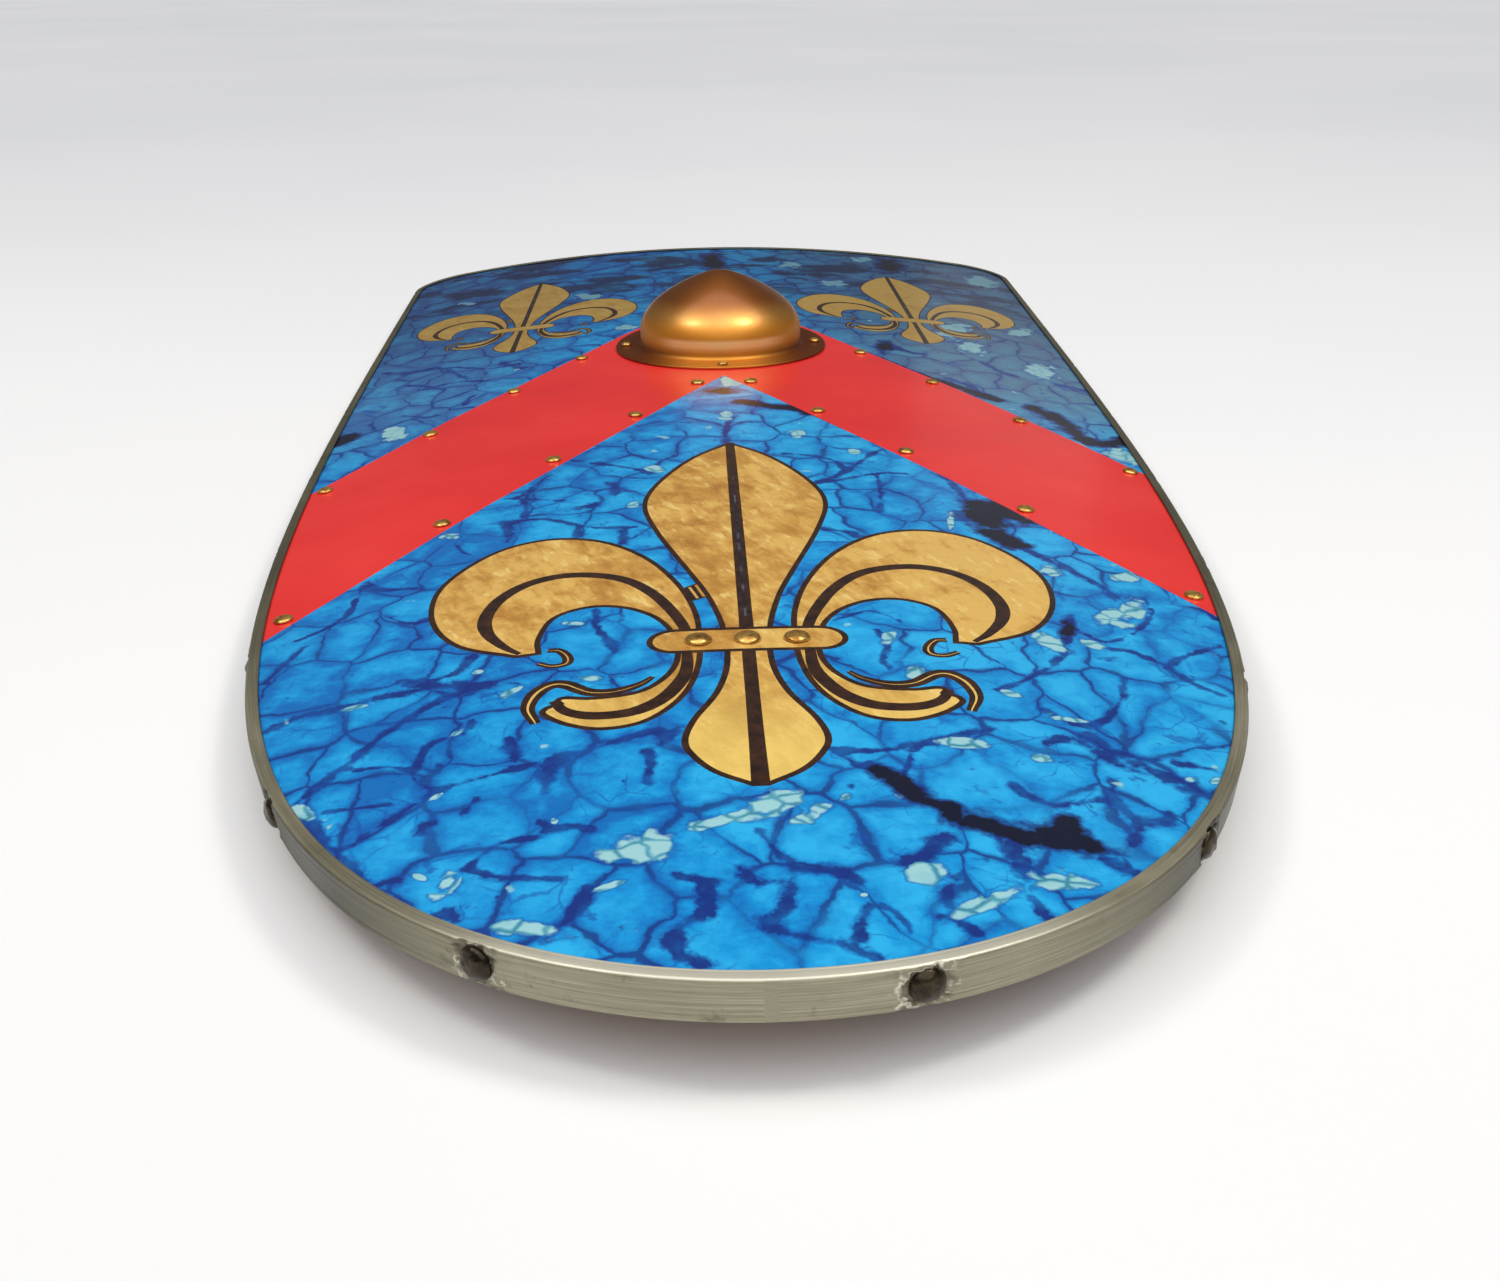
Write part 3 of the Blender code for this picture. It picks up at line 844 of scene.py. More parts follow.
@dataclass(frozen=True)
class StonePrint(FaceFinish):
    """Print of cracked blue stone: cells of changing blue, indigo veins, dark specks and pale chips, with painted light
    on the right and painted shade towards the head.

    The fields that hold two lengths say where on the sheet a change starts and where it ends.
    """

    name: str = "stone_print"
    deep: Colour = pigment(8, 108, 186)
    middle: Colour = pigment(14, 146, 214)
    light: Colour = pigment(40, 174, 232)
    indigo: Colour = pigment(8, 76, 162)
    vein: Colour = pigment(14, 42, 122)
    aqua: Colour = pigment(104, 176, 196)
    bone: Colour = pigment(158, 208, 212)
    teal: Colour = pigment(64, 134, 152)
    soot: Colour = pigment(8, 12, 36)
    navy: Colour = pigment(24, 38, 84)
    slate: Colour = pigment(98, 102, 92)
    shadow: Colour = pigment(150, 176, 196)
    cell_scale: float = 36.0
    shard_scale: float = 88.0
    pebble_scale: float = 112.0
    lighter_right: Point = (-0.15, 0.03)
    greyer_right: Point = (0.0, 0.15)
    greyer_left: Point = (-0.08, -0.20)
    greyer_head: Point = (0.48, 0.66)
    thinner_seams: Point = (0.10, 0.30)
    fainter_pebbles: Point = (0.35, 0.70)
    gloom: Point = (0.80, 1.02)
    head_gloom: Point = (1.095, 1.125)
    shade: Point = (0.62, 0.98)

    def colour(self, graph: Graph) -> Socket:
        """Return the stone's colour."""
        place, across, up = sheet_place(graph)
        colour = self.cells(graph, place, across, up)
        fray = graph.noise(place, 75.0, 5.0, 0.66)
        ragged = graph.add(graph.attribute("crack"), graph.fade(fray, 0.25, 0.75, -0.50, 0.36))
        broken = graph.fade(graph.noise(place, 70.0, 3.0, 0.6), 0.34, 0.60, 0.45, 1.0)
        colour = graph.mix(graph.fade(ragged, 0.28, 0.60, 0.0, 0.62), colour, self.indigo)
        core = graph.times(graph.fade(ragged, 0.54, 0.72, 0.0, 0.94), broken)
        colour = self.specks(graph, place, graph.mix(core, colour, self.vein))
        drift = graph.drawn(place, (15.0, 27.0, 1.0), 4.0, 0.6)
        far = graph.math("MAXIMUM", graph.fade(up, *self.gloom), graph.fade(up, *self.head_gloom))
        dark = graph.times(graph.fade(drift, 0.47, 0.57), graph.times(far, 0.9))
        colour = self.chips(graph, place, up, graph.mix(dark, colour, self.navy))
        # Painted shade: the stone darkens towards the head, multiplied by the shadow colour.
        return graph.mix(graph.fade(up, *self.shade, 0.0, 0.85), colour, self.shadow, "MULTIPLY")

    def cells(self, graph: Graph, place: Socket, across: Socket, up: Socket) -> Socket:
        """Return the broken blue ground between the long cracks: pebbles, lighter in their middles.

        Args:
            graph: The material's graph.
            place: Place on the sheet.
            across: Its across part; the ground has painted light on the right, and is greyer at the head's sides.
            up: Its up part; the seams are broader near the foot.

        Returns:
            Its colour.
        """
        bend, fray = (graph.vector("SUBTRACT", graph.noise(place, *waves, colour=True), (0.5, 0.5, 0.5))
                      for waves in ((22.0, 2.0, 0.5), (120.0, 3.0, 0.6)))
        warped = graph.vector("ADD", place, graph.scaled(bend, 0.030))
        warped = graph.vector("ADD", warped, graph.scaled(fray, 0.0050))
        warped = graph.vector("MULTIPLY", warped, (1.0, 0.80, 0.0))
        tint, _, _ = graph.split(graph.cells(warped, self.cell_scale).outputs["Color"])
        edge, shard_edge = (graph.cells(warped, scale, "DISTANCE_TO_EDGE").outputs["Distance"]
                            for scale in (self.cell_scale, self.shard_scale))
        cloud = graph.noise(place, 15.0, 5.0, 0.62, 0.4)
        mottle = graph.noise(place, 80.0, 6.0, 0.7)
        # Painted light: the ground is made lighter towards the right.
        tone = graph.add(graph.weighed((tint, 0.24), (cloud, 0.48)), graph.fade(edge, 0.0, 0.36, -0.08, 0.10),
                         graph.fade(across, *self.lighter_right, -0.09, 0.08),
                         graph.fade(mottle, 0.2, 0.8, -0.20, 0.20))
        colour = graph.ramp(tone, [(0.18, self.deep), (0.38, self.middle), (0.60, self.light)])
        grey = graph.math("MAXIMUM", graph.fade(across, *self.greyer_right),
                          graph.fade(across, *self.greyer_left, 0.0, 0.5))
        grey = graph.times(grey, graph.fade(up, *self.greyer_head, 0.0, 0.60))
        colour = graph.mix(grey, colour, self.slate)
        thin = graph.fade(graph.noise(place, 19.0), 0.36, 0.66, 0.02, 0.10)
        fine = graph.fade(shard_edge, 0.0, thin, 1.0, 0.0)
        strength = graph.fade(graph.noise(place, 33.0, 3.0, 0.6), 0.46, 0.62, 0.0, 0.6)
        colour = graph.mix(graph.times(fine, strength), colour, self.indigo)
        width = graph.fade(graph.noise(place, 40.0, 4.0, 0.7), 0.32, 0.72, 0.012, 0.105)
        width = graph.times(width, graph.fade(up, *self.thinner_seams, 1.0, 0.62))
        core = graph.fade(edge, graph.times(width, 0.4), width, 1.0, 0.0)
        halo = graph.fade(edge, width, graph.times(width, 2.0), 1.0, 0.0)
        present = graph.fade(graph.noise(place, 14.0, 3.0, 0.55), 0.36, 0.54, 0.20, 1.0)
        colour = graph.mix(graph.times(halo, present, 0.42), colour, self.indigo)
        return graph.mix(graph.times(core, present, 0.80), colour, self.vein)

    def specks(self, graph: Graph, place: Socket, colour: Socket) -> Socket:
        """Add small dark specks and soft indigo stains to the ground."""
        speck = graph.fade(graph.noise(place, 105.0, 2.0, 0.5, 0.5), 0.68, 0.78, 0.0, 0.7)
        stain = graph.fade(graph.noise(place, 44.0, 4.0, 0.7, 0.6), 0.60, 0.68, 0.0, 0.66)
        return graph.mix(speck, graph.mix(stain, colour, self.indigo), self.vein)

    def chips(self, graph: Graph, place: Socket, up: Socket, colour: Socket) -> Socket:
        """Add the pale chips, clusters of pebbles with dark seams, and the near-black patches.

        Args:
            graph: The material's graph.
            place: Place on the sheet.
            up: Its up part; the seams fade towards the head.
            colour: Colour of the ground.

        Returns:
            The colour with the chips and patches.
        """
        bent = graph.vector("ADD", place, graph.scaled(graph.noise(place, 90.0, colour=True), 0.008))
        pebble, _, _ = graph.split(graph.cells(bent, self.pebble_scale).outputs["Color"])
        seam = graph.cells(bent, self.pebble_scale, "DISTANCE_TO_EDGE").outputs["Distance"]
        ragged = graph.fade(graph.noise(place, 150.0, 3.0, 0.6), 0.2, 0.8, -0.22, 0.22)
        blot = graph.fade(graph.noise(place, 58.0, 4.0, 0.62), 0.28, 0.72, -0.42, 0.36)
        uneven = graph.add(ragged, graph.times(graph.less(pebble, 0.5), 0.70))
        pale = graph.add(graph.attribute("pale"), uneven)
        dark = graph.add(graph.attribute("dark"), graph.add(ragged, blot))
        seamed = graph.fade(seam, 0.0, 0.20, graph.fade(up, *self.fainter_pebbles, 0.15, 0.75), 1.0)
        shade = graph.add(seamed, graph.fade(graph.noise(place, 48.0, 3.0, 0.6), 0.2, 0.8, -0.34, 0.30))
        chip = graph.ramp(shade, [(0.02, self.teal), (0.46, self.aqua), (0.92, self.bone)])
        small = graph.fade(graph.noise(place, 58.0, 2.0, 0.5, 0.4), 0.715, 0.76, 0.0, 0.75)
        colour = graph.mix(small, colour, chip)
        for mark, start, end, share, ink in ((pale, -0.30, 0.05, 0.60, self.indigo), (pale, -0.02, 0.26, 0.94, chip),
                                             (dark, -0.50, 0.05, 0.85, self.vein), (dark, 0.0, 0.30, 0.98, self.soot)):
            colour = graph.mix(graph.fade(mark, start, end, 0.0, share), colour, ink)
        return colour


@dataclass(frozen=True)
class RedBandPrint(FaceFinish):
    """Flat red of the chevron, with faint clouds and the raster of the print."""

    name: str = "red_band_print"
    strong: Colour = pigment(230, 48, 44)
    faded: Colour = pigment(236, 58, 52)
    worn: Colour = pigment(222, 42, 42)

    def colour(self, graph: Graph) -> Socket:
        """Return the band's colour."""
        place = graph.attribute(LAYOUT, "Vector")
        cloud = graph.noise(place, 7.0, 4.0, 0.6)
        grit = graph.noise(place, 420.0, 3.0, 0.7)
        colour = graph.ramp(cloud, [(0.32, self.worn), (0.5, self.strong), (0.7, self.faded)])
        return graph.mix(graph.fade(grit, 0.5, 0.75, 0.0, 0.25), colour, self.worn)


@dataclass(frozen=True)
class GoldPrint(FaceFinish):
    """Printed gold leaf: slanting streaks and blotches of brown and pale gold, with painted light on the right and
    towards the foot, and painted shade towards the head.

    The fields that hold two lengths say where on the sheet a change starts and where it ends.
    """

    name: str = "gold_print"
    base_roughness: float = 0.40
    brown: Colour = pigment(168, 116, 48)
    ochre: Colour = pigment(194, 144, 66)
    leaf: Colour = pigment(220, 178, 94)
    flash: Colour = pigment(240, 212, 134)
    butter: Colour = pigment(244, 214, 116)
    tarnish: Colour = pigment(142, 116, 52)
    slant: float = 1.15
    lighter_right: Point = (-0.03, 0.05)
    lighter_sides: Point = (0.055, 0.085)
    yellower_foot: Point = (0.225, 0.12)
    duller_head: Point = (0.55, 0.80)

    def colour(self, graph: Graph) -> Socket:
        """Return the leaf's colour."""
        place, across, up = sheet_place(graph)
        slanted = graph.node("ShaderNodeMapping", {"Vector": place, "Rotation": (0.0, 0.0, self.slant)}).outputs[0]
        slanted = graph.vector("MULTIPLY", slanted, (1.0, 2.8, 1.0))
        streak = graph.noise(slanted, 52.0, 5.0, 0.66, 0.5)
        blotch = graph.noise(place, 34.0, 4.0, 0.6, 0.5)
        grit = graph.noise(place, 420.0, 3.0, 0.65)
        # Painted light: the gold is made lighter towards the right.
        tone = graph.add(graph.weighed((streak, 0.45), (blotch, 0.45), (grit, 0.10)),
                         graph.fade(across, *self.lighter_right, -0.015, 0.04),
                         graph.fade(graph.math("ABSOLUTE", across), *self.lighter_sides, 0.0, 0.055))
        colour = graph.ramp(tone, [(0.38, self.brown), (0.48, self.ochre), (0.58, self.leaf)])
        fleck = graph.fade(graph.noise(slanted, 75.0, 3.0, 0.6, 0.4), 0.54, 0.66, 0.0, 0.62)
        colour = graph.mix(graph.times(fleck, graph.fade(blotch, 0.42, 0.58)), colour, self.flash)
        rust = graph.fade(graph.noise(place, 260.0, 3.0, 0.7), 0.62, 0.72, 0.0, 0.45)
        colour = graph.mix(rust, colour, self.brown)
        # Painted light: brighter, yellower gold towards the foot.
        colour = graph.mix(graph.fade(up, *self.yellower_foot, 0.0, 0.62), colour, self.butter)
        # Painted shade: the gold darkens towards the head.
        return graph.mix(graph.fade(up, *self.duller_head, 0.0, 0.66), colour, self.tarnish)


@dataclass(frozen=True)
class OutlineInk(FaceFinish):
    """Brown-black ink of the outlines."""

    name: str = "outline_ink"
    black: Colour = pigment(34, 18, 12)
    brown: Colour = pigment(72, 42, 22)

    def colour(self, graph: Graph) -> Socket:
        """Return the ink's colour."""
        place = graph.attribute(LAYOUT, "Vector")
        return graph.ramp(graph.noise(place, 160.0, 4.0, 0.7), [(0.38, self.black), (0.72, self.brown)])


@dataclass(frozen=True)
class HairlineInk(FaceFinish):
    """Grey-blue thread that runs up the middle of the dark rib."""

    name: str = "hairline_ink"
    slate: Colour = pigment(96, 104, 122)
    navy: Colour = pigment(26, 24, 40)

    def colour(self, graph: Graph) -> Socket:
        """Return the thread's colour, which comes and goes."""
        place = graph.attribute(LAYOUT, "Vector")
        return graph.ramp(graph.noise(place, 60.0, 3.0, 0.6), [(0.50, self.navy), (0.68, self.slate)])


@dataclass(frozen=True)
class BackWood(Finish):
    """Plain varnished wood of the back and the edge: wavy rings and fine dark pores along the shield."""

    name: str = "back_wood"
    dark: Colour = pigment(92, 60, 34)
    warm: Colour = pigment(150, 106, 64)
    pale: Colour = pigment(186, 144, 96)
    stops: Triple = (0.30, 0.50, 0.72)
    drift_waves: Triple = (9.0, 1.2, 3.0)
    ring_waves: Triple = (60.0, 2.2, 60.0)
    pore_waves: Triple = (1600.0, 40.0, 1600.0)
    bend: float = 5.0
    full_pore: float = 0.72
    roughness: Point = (0.42, 0.58)
    relief: float = 0.4
    gloss: tuple[tuple[str, float], ...] = (("Coat Weight", 0.15), ("Coat Roughness", 0.3))

    def paint(self, graph: Graph, shader: bpy.types.Node) -> None:
        """Feed the shader with the grain's colour, roughness and relief."""
        place = graph.own_place()
        drift = graph.drawn(place, self.drift_waves, 3.0, 0.5, colour=True)
        bent = graph.vector("ADD", graph.vector("MULTIPLY", place, self.ring_waves), graph.scaled(drift, self.bend))
        rings = graph.noise(bent, 1.0, 5.0, 0.6)
        pores = graph.drawn(place, self.pore_waves, 2.0, 0.6)
        colour = graph.ramp(rings, list(zip(self.stops, (self.dark, self.warm, self.pale))))
        colour = graph.mix(graph.fade(pores, 0.55, self.full_pore, 0.0, 0.5), colour, self.dark)
        self.settle(graph, shader, {"Base Color": colour, "Roughness": graph.fade(rings, 0.3, 0.7, *self.roughness),
                                    "Normal": graph.bump(pores, 0.0003, self.relief), **dict(self.gloss)})


@dataclass(frozen=True)
class GripWood(BackWood):
    """Darker oiled wood of the hand grip, its grain across the shield."""

    name: str = "oiled_grip_wood"
    dark: Colour = pigment(58, 34, 20)
    warm: Colour = pigment(104, 66, 38)
    pale: Colour = pigment(134, 90, 54)
    stops: Triple = (0.30, 0.52, 0.75)
    drift_waves: Triple = (3.0, 14.0, 14.0)
    ring_waves: Triple = (4.0, 110.0, 110.0)
    pore_waves: Triple = (60.0, 2400.0, 2400.0)
    bend: float = 4.0
    full_pore: float = 0.70
    roughness: Point = (0.36, 0.50)
    relief: float = 0.5
    gloss: tuple[tuple[str, float], ...] = (("Specular IOR Level", 0.4),)


@dataclass(frozen=True)
class BrushedSteel(Finish):
    """Steel strip brushed along its length, browned by age, with painted shade in the dents of the nails and on the
    flanks, and painted highlights on the creases round the dents and on the lip at the foot.

    The fields that hold two numbers say where a change starts and where it ends: along the shield, or
    from a level surface to an upright one.
    """

    name: str = "brushed_strip_steel"
    bright: Colour = pigment(186, 181, 158)
    rubbed: Colour = pigment(236, 232, 214)
    grey: Colour = pigment(152, 147, 124)
    brown: Colour = pigment(110, 104, 82)
    shadow: Colour = pigment(106, 104, 84)
    rust: Colour = pigment(58, 46, 30)
    upright: Point = (0.85, 0.35)
    level: Point = (0.6, 0.95)
    past_foot: Point = (-0.562, -0.485)
    darker_flank: Point = (-0.50, -0.20)
    foot_lip: Point = (-0.525, -0.560)

    def paint(self, graph: Graph, shader: bpy.types.Node) -> None:
        """Feed the shader with the brushed colour, roughness and relief."""
        place = graph.own_place()
        strip = graph.join(graph.attribute("along"), graph.attribute("around"))
        coarse = graph.drawn(strip, (14.0, 1500.0, 1.0), 4.0, 0.65)
        fine = graph.drawn(strip, (45.0, 6200.0, 1.0), 3.0, 0.7)
        patina = graph.noise(place, 16.0, 5.0, 0.6)
        tone = graph.weighed((coarse, 0.5), (fine, 0.25), (patina, 0.25))
        colour = graph.ramp(tone, [(0.34, self.brown), (0.5, self.grey), (0.66, self.bright)])
        self.settle(graph, shader, {"Base Color": self.lit(graph, self.worn(graph, place, colour), place),
                                    "Metallic": 0.5, "Roughness": graph.fade(patina, 0.3, 0.7, 0.36, 0.50),
                                    "Normal": graph.bump(graph.weighed((coarse, 0.6), (fine, 0.4)), 0.00012, 0.7)})

    def worn(self, graph: Graph, place: Socket, colour: Socket) -> Socket:
        """Add brown stains, painted shade in the dents, and painted highlights on the creases round them."""
        dent = graph.attribute("dent")
        stain = graph.noise(place, 70.0, 5.0, 0.7)
        colour = graph.mix(graph.fade(stain, 0.58, 0.72, 0.0, 0.45), colour, self.rust)
        # Painted shade: the dents round the nails are darkened with the rust colour.
        grime = graph.times(dent, graph.fade(stain, 0.2, 0.7, 1.0, 0.5), 0.8)
        colour = graph.mix(grime, colour, self.rust)
        # Painted highlight: a bright ring on the crumpled creases round each dent.
        crease = graph.times(graph.fade(dent, 0.04, 0.25), graph.fade(dent, 0.75, 0.35),
                             graph.fade(stain, 0.46, 0.60, 0.0, 0.9))
        return graph.mix(crease, colour, self.rubbed)

    def lit(self, graph: Graph, colour: Socket, place: Socket) -> Socket:
        """Paint shade on the flanks and the upright walls, and paint a highlight on the lip at the foot."""
        _, up, _ = graph.split(place)
        _, _, lift = graph.split(graph.node("ShaderNodeNewGeometry").outputs["Normal"])
        # Painted shade: the upright walls past the foot, and the flanks towards the head, are darkened with the shadow
        # colour.
        side = graph.times(graph.fade(lift, *self.upright, 0.15, 1.0), graph.fade(up, *self.past_foot))
        side = graph.math("MAXIMUM", side, graph.fade(up, *self.darker_flank, 0.0, 0.7))
        colour = graph.mix(side, colour, self.shadow, "MULTIPLY")
        # Painted highlight: the level lip at the foot is brightened.
        lip = graph.times(graph.fade(lift, *self.level), graph.fade(up, *self.foot_lip, 0.0, 0.75))
        return graph.mix(lip, colour, self.rubbed)


@dataclass(frozen=True)
class BlackenedSteel(Finish):
    """Dark hammered heads of the rim nails, worn bright in small random specks."""

    name: str = "blackened_nail_steel"
    black: Colour = pigment(38, 31, 21)
    brown: Colour = pigment(66, 56, 39)
    bright: Colour = pigment(150, 140, 114)

    def paint(self, graph: Graph, shader: bpy.types.Node) -> None:
        """Feed the shader with the scale's colour, roughness and relief."""
        place = graph.own_place()
        scale = graph.noise(place, 260.0, 4.0, 0.6)
        rub = graph.noise(place, 900.0, 3.0, 0.6)
        colour = graph.ramp(scale, [(0.36, self.black), (0.6, self.brown)])
        colour = graph.mix(graph.fade(rub, 0.66, 0.74, 0.0, 0.4), colour, self.bright)
        self.settle(graph, shader, {"Base Color": colour, "Metallic": 0.7,
                                    "Roughness": graph.fade(scale, 0.3, 0.7, 0.22, 0.36),
                                    "Normal": graph.bump(scale, 0.0003, 0.5)})


@dataclass(frozen=True)
class CopperGold(Finish):
    """Satin copper-gold of the pressed boss: fine turning lines, painted shade on the crown, the lower wall and the
    flange's ends, and a painted highlight ring at the foot of the dome.

    The fields that hold two numbers say where a change starts and where it ends: as a share of the
    profile from the crown to the hollow, or for the flange's ends as a distance from the centre line.
    """

    name: str = "pressed_boss_copper"
    gold: Colour = pigment(224, 166, 84)
    copper: Colour = pigment(206, 144, 68)
    toned: Colour = pigment(150, 82, 28)
    wall: Colour = pigment(206, 138, 44)
    grime: Colour = pigment(112, 50, 24)
    burnished: Colour = pigment(255, 226, 160)
    crown: Point = (0.28, 0.17)
    shoulder: Point = (0.25, 0.31)
    duller: Point = (0.26, 0.31)
    bare: Point = (0.27, 0.31)
    ring_start: Point = (0.335, 0.350)
    ring_end: Point = (0.372, 0.360)
    flange: Point = (0.36, 0.38)
    flange_ends: Point = (0.015, 0.058)

    def paint(self, graph: Graph, shader: bpy.types.Node) -> None:
        """Feed the shader with the metal's colour, roughness and relief."""
        place = graph.own_place()
        profile = graph.attribute("profile")
        turning_lines = graph.noise(graph.join(graph.times(profile, 260.0)), 1.0, 4.0, 0.7)
        cloud = graph.noise(place, 34.0, 4.0, 0.6)
        grain = graph.noise(place, 900.0, 3.0, 0.7)
        colour = graph.ramp(graph.weighed((cloud, 0.7), (turning_lines, 0.3)), [(0.34, self.copper), (0.62, self.gold)])
        # Painted shade: the lower wall is given a darker, deeper gold.
        colour = graph.mix(graph.fade(profile, *self.shoulder, 0.0, 0.9), colour, self.wall)
        # Painted shade: the crown is darkened to a deep brown.
        colour = graph.mix(graph.fade(profile, *self.crown, 0.0, 0.92), colour, self.toned)
        across, _, _ = graph.split(place)
        # Painted shade: the flange darkens towards its left and right ends.
        ends = graph.fade(graph.math("ABSOLUTE", across), *self.flange_ends, 0.10, 0.92)
        colour = graph.mix(graph.times(graph.fade(profile, *self.flange), ends), colour, self.grime)
        # Painted highlight: a bright ring round the foot of the dome, strongest near the centre line.
        ring = graph.times(graph.fade(profile, *self.ring_start), graph.fade(profile, *self.ring_end))
        colour = graph.mix(graph.times(ring, graph.fade(ends, 0.85, 0.3, 0.0, 0.7)), colour, self.burnished)
        roughness = graph.add(graph.fade(grain, 0.3, 0.75, 0.33, 0.42), graph.fade(profile, *self.duller, 0.0, 0.14))
        self.settle(graph, shader, {"Base Color": colour, "Metallic": 0.82, "Roughness": roughness,
                                    "Coat Weight": graph.fade(profile, *self.bare, 0.42, 0.1), "Coat Roughness": 0.17,
                                    "Normal": graph.bump(graph.add(grain, turning_lines), 0.00008, 0.5)})


@dataclass(frozen=True)
class StudBrass(Finish):
    """Brass of the tacks and rivets, with brown in random clouds."""

    name: str = "cast_stud_brass"
    bright: Colour = pigment(222, 178, 96)
    worn: Colour = pigment(178, 128, 60)
    brown: Colour = pigment(112, 72, 34)

    def paint(self, graph: Graph, shader: bpy.types.Node) -> None:
        """Feed the shader with the brass's colour, roughness and relief."""
        place = graph.own_place()
        cloud = graph.noise(place, 260.0, 4.0, 0.65)
        grain = graph.noise(place, 1500.0, 3.0, 0.6)
        colour = graph.ramp(cloud, [(0.26, self.brown), (0.40, self.worn), (0.56, self.bright)])
        self.settle(graph, shader, {"Base Color": colour, "Metallic": 0.8,
                                    "Roughness": graph.fade(grain, 0.3, 0.7, 0.24, 0.40),
                                    "Normal": graph.bump(cloud, 0.0002, 0.5)})


@dataclass(frozen=True)
class PaleFloor(Finish):
    """Plain pale studio floor with a faint tooth."""

    name: str = "pale_floor"
    light: Colour = pigment(236, 236, 236)
    shade: Colour = pigment(228, 229, 231)

    def paint(self, graph: Graph, shader: bpy.types.Node) -> None:
        """Feed the shader with a nearly even pale grey."""
        place = graph.own_place()
        colour = graph.ramp(graph.noise(place, 0.7, 3.0, 0.5), [(0.3, self.shade), (0.7, self.light)])
        tooth = graph.noise(place, 400.0, 2.0, 0.5)
        self.settle(graph, shader, {"Base Color": colour, "Roughness": 0.75, "Normal": graph.bump(tooth, 0.0002, 0.1)})


def new_piece(name: str, mesh: bpy.types.Mesh) -> bpy.types.Object:
    """Add a mesh to the scene as an object at the origin."""
    piece = bpy.data.objects.new(name, mesh)
    bpy.context.scene.collection.objects.link(piece)
    return piece


def mesh_of(name: str, verts: Sequence[Sequence[float]], faces: Sequence[Sequence[int]] = ()) -> bpy.types.Mesh:
    """Make a mesh from plain lists.

    Args:
        name: Name of the mesh.
        verts: Corners.
        faces: Faces as lists of corner numbers.

    Returns:
        The mesh.
    """
    mesh = bpy.data.meshes.new(name)
    mesh.from_pydata([tuple(vert) for vert in verts], [], [tuple(face) for face in faces])
    mesh.update()
    return mesh


def note(mesh: bpy.types.Mesh, label: str, values: Sequence[Any], vector: bool = False) -> None:
    """Store a value for each corner of a mesh.

    Args:
        mesh: The mesh.
        label: Name of the attribute.
        values: One number, or one vector, for each corner.
        vector: Whether they are vectors.
    """
    kind = "FLOAT_VECTOR" if vector else "FLOAT"
    layer = mesh.attributes.new(label, kind, "POINT")
    if vector:
        layer.data.foreach_set("vector", [part for value in values for part in (*value, 0.0)[:3]])
    else:
        layer.data.foreach_set("value", list(values))


class Recipe:
    """A geometry node tree that turns a host mesh into a finished piece."""

    def __init__(self, tree: bpy.types.NodeTree) -> None:
        """Take a tree whose first input and output are the geometry."""
        self.tree = tree

    def cook(self, host: bpy.types.Object, values: dict[str, Any]) -> bpy.types.Object:
        """Run the tree on a host and keep the result as a plain mesh.

        Args:
            host: Object that carries the starting mesh.
            values: Value of each named input.

        Returns:
            The host, with the finished mesh and no modifier.
        """
        modifier = host.modifiers.new(self.tree.name, "NODES")
        modifier.node_group = self.tree
        for item in self.tree.interface.items_tree:
            if item.item_type == "SOCKET" and item.in_out == "INPUT" and item.name in values:
                modifier[item.identifier] = values[item.name]
        view = bpy.context.evaluated_depsgraph_get()
        mesh = bpy.data.meshes.new_from_object(host.evaluated_get(view), preserve_all_data_layers=True,
                                               depsgraph=view)
        host.modifiers.clear()
        host.data = mesh
        mesh.name = host.name
        return host


FORM = ShieldForm()
FORM_INPUTS = {"Bow Radius": FORM.bow_radius, "Length": FORM.length, "Face Height": FORM.face_height}


def here(graph: Graph) -> Socket:
    """Return the place of each point in a geometry tree."""
    return graph.node("GeometryNodeInputPosition").outputs[0]


def held(graph: Graph, name: str, vector: bool = False) -> Socket:
    """Return the named attribute of each point in a geometry tree."""
    kind = "FLOAT_VECTOR" if vector else "FLOAT"
    return graph.node("GeometryNodeInputNamedAttribute", {"Name": name}, data_type=kind).outputs[0]


def stored(graph: Graph, geometry: Socket, name: str, value: Socket, vector: bool = False) -> Socket:
    """Store a named attribute on the points of a geometry, and return it."""
    return graph.node("GeometryNodeStoreNamedAttribute", {"Geometry": geometry, "Name": name, "Value": value},
                      data_type="FLOAT_VECTOR" if vector else "FLOAT", domain="POINT").outputs[0]


def moved(graph: Graph, geometry: Socket, **change: Socket) -> Socket:
    """Give the points of a geometry a new Position, or an Offset, and return it."""
    return graph.node("GeometryNodeSetPosition", {"Geometry": geometry, **change}).outputs[0]


def welded(graph: Graph, geometry: Socket) -> Socket:
    """Join the doubled vertices of a seam or a pole."""
    wires = {"Geometry": geometry, "Distance": WELD_DISTANCE}
    return graph.node("GeometryNodeMergeByDistance", wires).outputs[0]


def piece_group(name: str, inputs: dict[str, Any]) -> NodeGroup:
    """Start the tree of a piece, which takes its host's mesh, its own inputs, its material and the bow's sizes."""
    every = {"Geometry": "Geometry", **inputs, "Material": "Material", **FORM_INPUTS}
    return NodeGroup(name, "Geometry", every, {"Geometry": "Geometry"})


